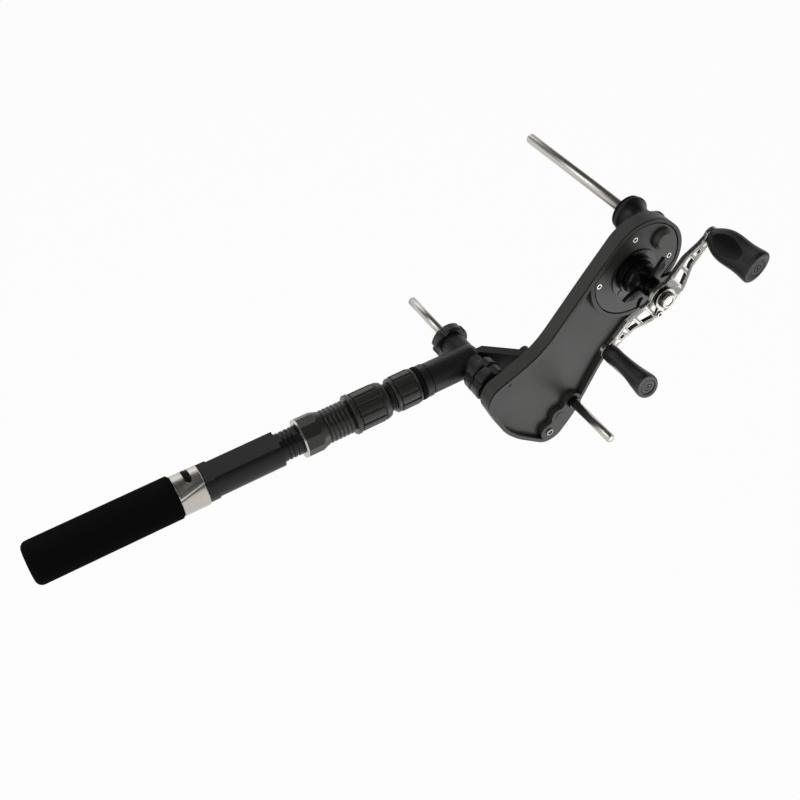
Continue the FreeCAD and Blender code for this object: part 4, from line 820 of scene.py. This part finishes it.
@dataclass
class FrontHood:
    """The fixed silver hood in front of the grip, with its raised near side and dark pill."""

    start: float = 92.0
    length: float = 17.4
    outer_r: float = 13.2
    bore_r: float = 11.53
    row: float = 0.35
    segments: int = 300
    step: float = 0.55
    step_over: float = 3.0
    shell_front: float = 109.2
    shell_ease: float = 0.5
    shell_end: float = 300.0
    crease_at: float = 139.5
    crease_sweep: float = 12.7
    line_at: float = 12.0
    line_lean: float = 0.5
    line_width: float = 2.2
    line_depth: float = 0.35
    edge: float = 0.35
    pill_at: tuple[float, float] = (101.5, 80.5)
    pill_half: tuple[float, float] = (2.0, 7.5)
    pill_depth: float = 0.75
    pill_segments: int = 64
    # Rings of the pill: the share of the way out from its middle, and the height above its floor.
    pill_rings: Section = ((0.0, 0.0), (0.6, 0.0), (0.96, 0.0), (0.96, 0.25), (0.9, 0.35),
                           (0.6, 0.35), (0.3, 0.35), (0.0, 0.35))

    def build(self) -> None:
        """Builds the hood and the pill, and dresses the band behind them."""
        start, end, edge = self.start, self.start + self.length, self.edge
        section = [(start, self.bore_r), (start, self.outer_r - edge)]
        section += [(at, self.outer_r) for at in stations(start + edge, end - edge, self.row)]
        section += [(end, self.outer_r - edge), (end, self.bore_r)]
        shell = turned(section, self.segments, relief=self._relief)
        Piece("front_hood", "seat_sleeve", "handle", "silver", SILVER).stand(shell)
        Piece("front_hood_pill", "hood_insert", "handle", "rubber", RUBBER).stand(self._pill())
        dress(NYLON_BLACK, "seat_band", "seat_barrel")

    def _relief(self, station: float, radius: float, angle: float) -> float:
        """Shapes the raised shell, its crease and the pill's recess.

        Args:
            station: the place along the handle, in millimetres.
            radius: the radius there.
            angle: the angle about the handle, in degrees.

        Returns:
            The shaped radius.
        """
        if radius < self.outer_r - 2 * self.edge:
            return radius
        share = (station - self.start) / self.length
        past = angle - self.crease_at + self.crease_sweep * share
        rise = min(1.0, max(0.0, past / self.step_over)) if angle < self.shell_end else 0.0
        rise *= min(1.0, max(0.0, (self.shell_front - station) / self.shell_ease))
        line_at = self.line_at * (1 - self.line_lean * share)
        line = math.exp(-((past - line_at) / self.line_width) ** 2)
        drop = self.step * (1 - rise) + self.line_depth * line * rise
        arc = abs(math.radians(angle - self.pill_at[1])) * self.outer_r
        beyond = max(0.0, arc - self.pill_half[1] + self.pill_half[0])
        if math.hypot(station - self.pill_at[0], beyond) < self.pill_half[0]:
            drop += self.pill_depth
        return radius - drop

    def _pill(self) -> Mesh:
        """Builds the dark pill, bent to the hood's curve.

        Returns:
            The pill's mesh.
        """
        floor = self.outer_r - self.step - self.pill_depth
        rings = [[self._on_pill(share, floor + height, math.tau * index / self.pill_segments)
                  for index in range(self.pill_segments)] for share, height in self.pill_rings]
        return skinned("pill", rings, zip(range(len(rings)), range(1, len(rings))))

    def _on_pill(self, share: float, radius: float, turn: float) -> Spot:
        """Places a point of the pill.

        Args:
            share: how far out from the pill's middle it lies, from 0 to 1.
            radius: how far from the handle's axis it lies.
            turn: its direction from the pill's middle, in radians.

        Returns:
            The point, in millimetres.
        """
        half, reach = self.pill_half
        arc = half * math.sin(turn)
        arc += math.copysign(reach - half, arc) if abs(arc) > TINY else 0.0
        angle = math.radians(self.pill_at[1]) + share * arc / self.outer_r
        return (self.pill_at[0] + share * half * math.cos(turn), radius * math.cos(angle),
                radius * math.sin(angle))


@dataclass(frozen=True)
class FlutedNut:
    """A fluted nut.

    Its corners are steps along the handle and drops below a radius: those of its flange and of the
    groove behind it from its start, and those of its rim from the end of its lands.
    """

    piece: Piece
    start: float
    back: float
    end: float
    flange_r: float
    lands_r: float
    ease: float
    flange: Section
    groove: Section
    rim: Section
    fluted: tuple[float, float]
    bore_r: float = 9.48
    flutes: int = 12
    flute_w: float = 1.6
    flute_depth: float = 0.85
    lands_row: float = 1.0
    segments: int = 288

    def build(self, rule: Rule) -> None:
        """Builds the nut.

        Args:
            rule: the flute rule.
        """
        lands = stations(self.start + self.groove[-1][0] + self.ease, self.back - self.ease,
                         self.lands_row)
        section = [(self.start, self.bore_r), *profile(self.start, self.flange_r, self.flange),
                   *profile(self.start, self.lands_r, self.groove)]
        section += [*((at, self.lands_r) for at in lands),
                    *profile(self.back, self.lands_r, self.rim), (self.end, self.bore_r)]
        nut = rule.grow(turned(section, self.segments), self.piece.finish, Count=self.flutes,
                        Turn=math.pi / 2, Width=self.flute_w * MM, Depth=self.flute_depth * MM,
                        Core=(self.lands_r - self.flute_depth) * MM, Start=self.fluted[0] * MM,
                        End=self.fluted[1] * MM)
        self.piece.stand(nut)


def domed(start: float, end: float, top: float, low: float, count: int = 8) -> Section:
    """Rounds a nut's end off with a quarter of an ellipse.

    Args:
        start: the step where the rounding starts, in millimetres.
        end: the step where it ends.
        top: the drop where it starts.
        low: the drop where it ends.
        count: how many facets it has.

    Returns:
        The steps and drops of its corners.
    """
    shares = [index / count for index in range(count + 1)]
    falls = [1 - math.sqrt(1 - share ** 2) for share in shares]
    return tuple((start + (end - start) * share, top + (low - top) * fall)
                 for share, fall in zip(shares, falls))


@dataclass
class GripNuts:
    """The ring nut, the coupling nut and the lock nut, with the thread between them."""

    ring_start: float = 191.8
    ring_end: float = 208.8
    ring_bore_r: float = 9.48
    ring_core_r: float = 10.3
    ring_r: float = 11.1
    ring_segments: int = 120
    ribs: int = 6
    rib: Section = ((-1.0, 0.9), (-0.95, 0.4), (-0.7, 0.1), (-0.35, 0.0), (0.35, 0.0), (0.7, 0.1),
                    (0.95, 0.4), (1.0, 0.9))
    coupling: FlutedNut = FlutedNut(
        Piece("coupling_nut_body", "coupling_nut", "coupling", "nut_grey", NUT_GREY),
        start=210.2, back=230.3, end=236.0,
        flange_r=13.4, lands_r=12.8, ease=0.35,
        flange=((0.0, 0.35), (0.35, 0.0), (2.6, 0.0), (3.0, 0.4)),
        groove=((3.0, 0.75), (3.9, 0.75), (3.9, 0.35)),
        rim=((0.0, 0.35), (0.0, 0.75), (0.7, 0.75), (0.7, 0.35), *domed(1.0, 5.7, 0.2, 2.4)),
        fluted=(213.9, 230.3))
    lock: FlutedNut = FlutedNut(
        Piece("lock_nut_body", "lock_nut", "lock", "nut_grey", NUT_GREY),
        start=240.3, back=255.8, end=258.3,
        flange_r=11.6, lands_r=12.0, ease=0.3,
        flange=((0.0, 0.6), (0.6, 0.0), (2.0, 0.0), (2.4, 0.3)),
        groove=((2.4, 0.85), (3.0, 0.85), (3.0, 0.3)),
        rim=((0.0, 0.3), (0.0, 0.75), (0.5, 0.75), (0.5, 0.4), (0.8, 0.25), (2.0, 0.6), (2.5, 1.1)),
        fluted=(243.1, 255.9))
    adapter_start: float = 226.0
    adapter_end: float = 271.0
    adapter_r: float = 9.4
    adapter_bore_r: float = 6.0
    adapter_ease: float = 0.4
    adapter_row: float = 0.2
    adapter_segments: int = 96
    thread_pitch: float = 1.4
    thread_depth: float = 0.5
    thread_skin: float = 0.2

    def build(self) -> None:
        """Builds the nuts and the thread."""
        self._ring_nut()
        flutes = flute_rule()
        self.coupling.build(flutes)
        self.lock.build(flutes)
        self._adapter()
        dress(RUBBER, "seal_ring")
        dress(NUT_GREY, "sliding_hood")
        dress(SILVER, "hood_lip")

    def _ring_nut(self) -> None:
        """Builds the ring nut: a core and its row of ribs."""
        core = turned([(self.ring_start, self.ring_bore_r), (self.ring_start, self.ring_core_r),
                       (self.ring_end, self.ring_core_r), (self.ring_end, self.ring_bore_r)],
                      self.ring_segments)
        rib = turned(profile(0.0, self.ring_r, self.rib), self.ring_segments)
        pitch = (self.ring_end - self.ring_start) / self.ribs
        nut = repeated(stack_rule(), core, rib, NUT_GREY, Count=self.ribs,
                       Start=(self.ring_start + pitch / 2) * MM, Pitch=pitch * MM)
        Piece("ring_nut_body", "hood_ring_nut", "hood_nut", "nut_grey", NUT_GREY).stand(nut)

    def _adapter(self) -> None:
        """Builds the threaded adapter that the nuts run on."""
        start, end, ease = self.adapter_start, self.adapter_end, self.adapter_ease
        section = [(start, self.adapter_bore_r), (start, self.adapter_r - ease)]
        section += [(at, self.adapter_r)
                    for at in stations(start + ease, end - ease, self.adapter_row)]
        section += [(end, self.adapter_r - ease), (end, self.adapter_bore_r)]
        thread = thread_rule().grow(turned(section, self.adapter_segments), NYLON_BLACK,
                                    Pitch=self.thread_pitch * MM, Depth=self.thread_depth * MM,
                                    Core=(self.adapter_r - self.thread_skin) * MM)
        Piece("adapter_thread", "threaded_adapter", "handle", "seat_black",
              NYLON_BLACK).stand(thread)


@dataclass
class TeeJoint:
    """The tee with its clamp knobs and the cross rod."""

    def build(self) -> None:
        """Dresses the tee, its knobs and rods."""
        Piece("cross_rod_drawn", "cross_rod", "line_rod", "steel", ROD).copied()
        dress(TEE_ABS, "tee_frame", "arm_collar")
        dress(GEAR, "rod_collet")
        dress(ROD, "pivot_shaft")
        dress(ACETAL, "rod_clamp_knob", "arm_clamp_knob", "arm_lock_knob")


@dataclass
class SocketScrew:
    """A screw with a hexagon socket, its head toward the front."""

    head_r: float = 2.0
    head_t: float = 1.0
    shank_r: float = 1.1
    shank_l: float = 5.0
    socket: float = 0.64
    floor: float = 0.25
    ease: float = 0.25
    tip: tuple[float, float] = (0.4, 0.2)
    segments: int = 48

    def drive(self, piece: Piece, seats: Iterable[Spot], roll: float) -> None:
        """Sets a screw in every seat.

        Args:
            piece: the piece that the screws make.
            seats: where their heads sit, in millimetres.
            roll: how far their sockets are turned, in radians.
        """
        marks = bpy.data.meshes.new("marks")
        marks.from_pydata([Vector(seat) * MM for seat in seats], [], [])
        piece.stand(repeated(copies_rule(), marks, self.pattern(), piece.finish, Roll=roll))

    def pattern(self) -> Mesh:
        """Builds one screw, seated at the origin.

        Returns:
            The screw's mesh.
        """
        hole = self.socket * self.head_r
        floor = -self.head_t * self.floor
        section = [(self.shank_l, 0.0), (self.shank_l, self.shank_r - self.tip[1]),
                   (self.shank_l - self.tip[0], self.shank_r), (0.0, self.shank_r),
                   (0.0, self.head_r), (self.ease - self.head_t, self.head_r),
                   (-self.head_t, self.head_r - self.ease), (-self.head_t, hole), (floor, hole),
                   (floor, 0.0)]
        return turned(section, self.segments, Axis.SPINDLE, relief=self._hexagon)

    def _hexagon(self, station: float, radius: float, angle: float) -> float:
        """Shapes the socket's six flats.

        Args:
            station: the place along the screw, which makes no difference.
            radius: the radius there, in millimetres.
            angle: the angle about the screw, in degrees.

        Returns:
            The shaped radius.
        """
        if abs(radius - self.socket * self.head_r) > TINY:
            return radius
        off = (angle + 30.0) % 60.0 - 30.0
        return radius * math.cos(math.radians(30.0)) / math.cos(math.radians(off))


@dataclass
class GearArm:
    """The gear arm with its cover, screws and bearings."""

    origin: tuple[float, float] = (392.80, 58.34)
    tilt: float = 45.0
    cover_screws: Section = ((17.5, 18.9), (20.1, -18.2), (-17.3, 19.9))
    cover_seat_y: float = -45.2
    cover_roll: float = 0.2
    small: SocketScrew = field(default_factory=SocketScrew)
    foot_screw: tuple[float, float] = (-118.5, -31.0)
    foot_seat_y: float = -46.5
    foot_roll: float = 0.4
    large: SocketScrew = field(default_factory=lambda: SocketScrew(
        head_r=2.7, head_t=0.9, shank_r=1.5, shank_l=7.0))

    def build(self) -> None:
        """Builds the screws and dresses the arm's nodes."""
        self.small.drive(Piece("cover_screw_set", "cover_screws", "arm", "screw_steel", SCREW),
                         self._spots(self.cover_screws, self.cover_seat_y), self.cover_roll)
        self.large.drive(Piece("foot_screw_body", "foot_screw", "arm", "screw_steel", SCREW_DULL),
                         self._spots([self.foot_screw], self.foot_seat_y), self.foot_roll)
        Piece("lower_rod_drawn", "lower_rod", "arm", "steel", ROD).copied()
        dress(ARM_ABS, "arm_shell", "boss_plug")
        dress(COVER_ABS, "gear_cover", "spindle_cap")
        dress(ANODISED, "rod_sleeve", "crank_boss_ring")
        dress(BRONZE, "crank_bush_front", "crank_bush_rear")
        dress(BEARING, "spindle_bearing_front", "spindle_bearing_rear")

    def _spots(self, places: Section, height: float) -> list[Spot]:
        """Turns places on the arm into places in the row frame.

        Args:
            places: along and across the arm, from the crank's axis.
            height: their y.

        Returns:
            The places in millimetres.
        """
        lean = math.radians(self.tilt)
        return [(self.origin[0] + u * math.cos(lean) - v * math.sin(lean), height,
                 self.origin[1] + u * math.sin(lean) + v * math.cos(lean)) for u, v in places]


@dataclass
class CrankSet:
    """The crank with its drag, its nut and its two paddle knobs."""

    retainer_screw: Spot = (388.79, -76.3, 48.64)
    retainer_roll: float = 0.1
    retainer: SocketScrew = field(default_factory=lambda: SocketScrew(shank_l=3.8))
    caps: tuple[tuple[float, float], ...] = ((429.42, 85.505), (356.18, 31.17))
    rolls: tuple[float, ...] = (46.7, 118.0)
    dish_near: float = -98.5
    dish_facing: tuple[float, float] = (0.03, 0.5)
    rail: float = 0.75
    rail_height: float = 0.5
    front_facing: float = 0.9
    cap_near: float = -108.5
    cap_segments: int = 64
    # A cap's corners, with its ring groove and its dot: steps behind its front, and radii.
    cap_corners: Section = ((1.2, 0.0), (1.2, 4.4), (0.03, 4.4), (0.0, 4.37), (0.0, 2.7),
                            (0.4, 2.55), (0.4, 2.25), (0.0, 2.1), (0.0, 0.75), (0.6, 0.55),
                            (0.6, 0.0))

    def build(self) -> None:
        """Builds the caps and the retainer's screw, and dresses the rest."""
        head = Piece("retainer_screw_body", "retainer_screw", "crank", "screw_steel", SCREW)
        self.retainer.drive(head, [self.retainer_screw], self.retainer_roll)
        self._arm()
        section = [(self.cap_near + step, radius) for step, radius in self.cap_corners]
        for number, (centre, roll) in enumerate(zip(self.caps, self.rolls), 1):
            self._paddle(number, roll)
            cap = turned(section, self.cap_segments, Axis.SPINDLE, centre)
            Piece(f"paddle_cap_{number}", f"knob_cap_{number}", f"knob_{number}", "knob_black",
                  SOFT_TOUCH).stand(cap)
        dress(GEAR, "crank_gear")
        dress(ROD, "crank_shaft", "knob_shaft_1", "knob_shaft_2")
        dress(ANODISED, "drag_dome", "star_wheel", "drag_washers")
        dress(BUFFED, "hub_nut", "nut_retainer")

    def _arm(self) -> None:
        """Builds the crank arm, its front sunk between raised rails along every edge."""
        shape = merged("crank_arm")
        bmesh.ops.dissolve_limit(shape, angle_limit=math.radians(FLAT_DEG), verts=shape.verts,
                                 edges=shape.edges)
        front = [face for face in shape.faces if face.normal.y < -self.front_facing]
        bmesh.ops.inset_region(shape, faces=front, thickness=self.rail * MM, use_boundary=True,
                               depth=-self.rail_height * MM, use_even_offset=True)
        bmesh.ops.triangulate(shape, faces=shape.faces)
        arm = Piece("crank_arm_railed", "crank_arm", "crank", "polished_alloy", BUFFED)
        arm.stand(finished(shape, arm.name))

    def _paddle(self, number: int, roll: float) -> None:
        """Builds one paddle knob, its dished panels in their own finish, darker with a painted dark
        reflection.

        Args:
            number: which knob.
            roll: how its broad side is turned about its shaft, in degrees.
        """
        broad = Vector((math.cos(math.radians(roll)), 0.0, math.sin(math.radians(roll))))
        shape = merged(f"crank_knob_{number}")
        edgeways, upright = self.dish_facing
        dished = [int(abs(face.normal.dot(broad)) < edgeways and abs(face.normal.y) < upright
                      and face.calc_center_median().y > self.dish_near * MM)
                  for face in shape.faces]
        mesh = finished(shape, "paddle")
        Piece(f"paddle_{number}", f"crank_knob_{number}", f"knob_{number}", "knob_black",
              SOFT_TOUCH).stand(mesh)
        mesh.materials.append(PAINTED_DARK_PANEL.material())
        mesh.polygons.foreach_set("material_index", dished)


@dataclass
class SpoolDrive:
    """The spindle with its hub, pad and pinion."""

    def build(self) -> None:
        """Dresses the drive."""
        Piece("spindle_drawn", "spindle", "spool_drive", "steel", ROD).copied()
        Piece("drive_hub_turned", "drive_hub", "spool_drive", "knob_black", NYLON_BLACK).copied()
        dress(GEAR, "spindle_pinion")
        dress(SCREW, "hub_set_screw")
        dress(RUBBER, "drive_pad")


# ---- studio ----
def seen_directly(tree: Tree) -> Socket:
    """Adds a test of the ray's kind.

    Args:
        tree: the tree that gets it.

    Returns:
        A socket that is 1 for camera, glossy and transmission rays.
    """
    path = add_node(tree, "ShaderNodeLightPath").node.outputs
    shiny = math_node(tree, "MAXIMUM", path["Is Camera Ray"], path["Is Glossy Ray"])
    return math_node(tree, "MAXIMUM", shiny, path["Is Transmission Ray"])


@dataclass
class Studio:
    """The pale floor, the soft lights and the camera."""

    floor_drop_mm: float = 700.0
    floor_side_m: float = 80.0
    floor_glow: float = 0.97
    lens_mm: float = 49.29
    sensor_mm: float = 36.0
    clip_m: float = 0.01
    camera_at: Spot = (0.0374, -0.4508, 0.4950)
    camera_axes: tuple[Spot, ...] = (
        (0.8645, -0.4954, -0.0851), (0.4064, 0.5893, 0.6982), (-0.2957, -0.6382, 0.7108))
    aim: Spot = (0.26, 0.0, 0.02)
    ambient: float = 0.13
    ceiling: float = 0.07
    ceiling_from: tuple[float, float] = (0.3, 0.5)
    # Each softbox's name, place and side in metres, and power in watts.
    lamps: tuple[tuple[str, Spot, float, float], ...] = (
        ("softbox_left", (-0.7, -0.2, 1.25), 1.0, 7.6),
        ("softbox_back", (0.5, 1.3, 0.9), 0.9, 3.5),
        ("strip_low_right", (0.72, -0.68, -0.56), 0.45, 1.75),
    )

    def build(self) -> None:
        """Makes the floor, the world, the lamps and the camera."""
        self._world()
        self._floor()
        for name, place, side, power in self.lamps:
            self._lamp(name, place, side, power)
        self._camera()
        bpy.context.scene.view_settings.view_transform = "Standard"
        log.info("studio has %d lamps", len(self.lamps))

    def _world(self) -> None:
        """Gives the world a soft light, a white look and a darker ceiling for reflections."""
        world = bpy.data.worlds.new("studio_world")
        bpy.context.scene.world = world
        tree = emptied(world)
        way = add_node(tree, "ShaderNodeTexCoord", out="Generated")
        height = add_node(tree, "ShaderNodeSeparateXYZ", {0: way}, out=2)
        low, high = self.ceiling_from
        sky = add_node(tree, "ShaderNodeMapRange",
                       {"Value": height, "From Min": low, "From Max": high, "To Min": 1.0,
                        "To Max": self.ceiling})
        seen = add_node(tree, "ShaderNodeLightPath", out="Is Camera Ray")
        look = math_node(tree, "MAXIMUM", sky, seen)
        level = add_node(tree, "ShaderNodeMapRange", {"Value": seen_directly(tree),
                                                      "To Min": self.ambient, "To Max": look})
        light = add_node(tree, "ShaderNodeBackground",
                         {"Strength": level, "Color": linear("ffffff")})
        add_node(tree, "ShaderNodeOutputWorld", {"Surface": light})

    def _floor(self) -> None:
        """Lays a pale floor that keeps a faint shadow."""
        half = self.floor_side_m / 2
        level = cad_box[0].z - self.floor_drop_mm * MM
        mesh = bpy.data.meshes.new("floor")
        mesh.from_pydata([(-half, -half, level), (half, -half, level), (half, half, level),
                          (-half, half, level)], [], [(0, 1, 2, 3)])
        paper = bpy.data.materials.new("paper_sweep")
        tree = emptied(paper)
        matt = add_node(tree, "ShaderNodeBsdfDiffuse", {"Color": linear("fafafa")})
        white = add_node(tree, "ShaderNodeEmission", {"Color": linear("ffffff")})
        share = math_node(tree, "MULTIPLY", seen_directly(tree), self.floor_glow)
        mixed = add_node(tree, "ShaderNodeMixShader", {0: share, 1: matt, 2: white})
        add_node(tree, "ShaderNodeOutputMaterial", {"Surface": mixed})
        mesh.materials.append(paper)
        placed("floor", mesh)

    def _lamp(self, name: str, place: Spot, side: float, power: float) -> None:
        """Hangs a square softbox that faces the object.

        Args:
            name: the lamp's name.
            place: where it hangs, in metres.
            side: the box's side, in metres.
            power: its power, in watts.
        """
        lamp = bpy.data.lights.new(name, "AREA")
        lamp.size = side
        lamp.energy = power
        thing = placed(name, lamp)
        thing.location = place
        thing.rotation_mode = "QUATERNION"
        thing.rotation_quaternion = (Vector(self.aim) - Vector(place)).to_track_quat("-Z", "Y")

    def _camera(self) -> None:
        """Sets up the camera at the viewing angle."""
        lens = bpy.data.cameras.new("camera")
        lens.lens = self.lens_mm
        lens.sensor_width = self.sensor_mm
        lens.clip_start = self.clip_m
        camera = placed("camera", lens)
        turn = Matrix(self.camera_axes).transposed().to_4x4()
        camera.matrix_world = Matrix.Translation(self.camera_at) @ turn
        bpy.context.scene.camera = camera


def main() -> None:
    """Builds the studio and the winder, sub-assembly by sub-assembly."""
    logging.basicConfig(level=logging.INFO, format="%(name)s: %(message)s")
    for part in (Studio(), FoamGrip(), FrontHood(), GripNuts(), TeeJoint(), GearArm(), CrankSet(),
                 SpoolDrive()):
        log.info("building %s", type(part).__name__)
        part.build()


if __name__ == "__main__":
    main()
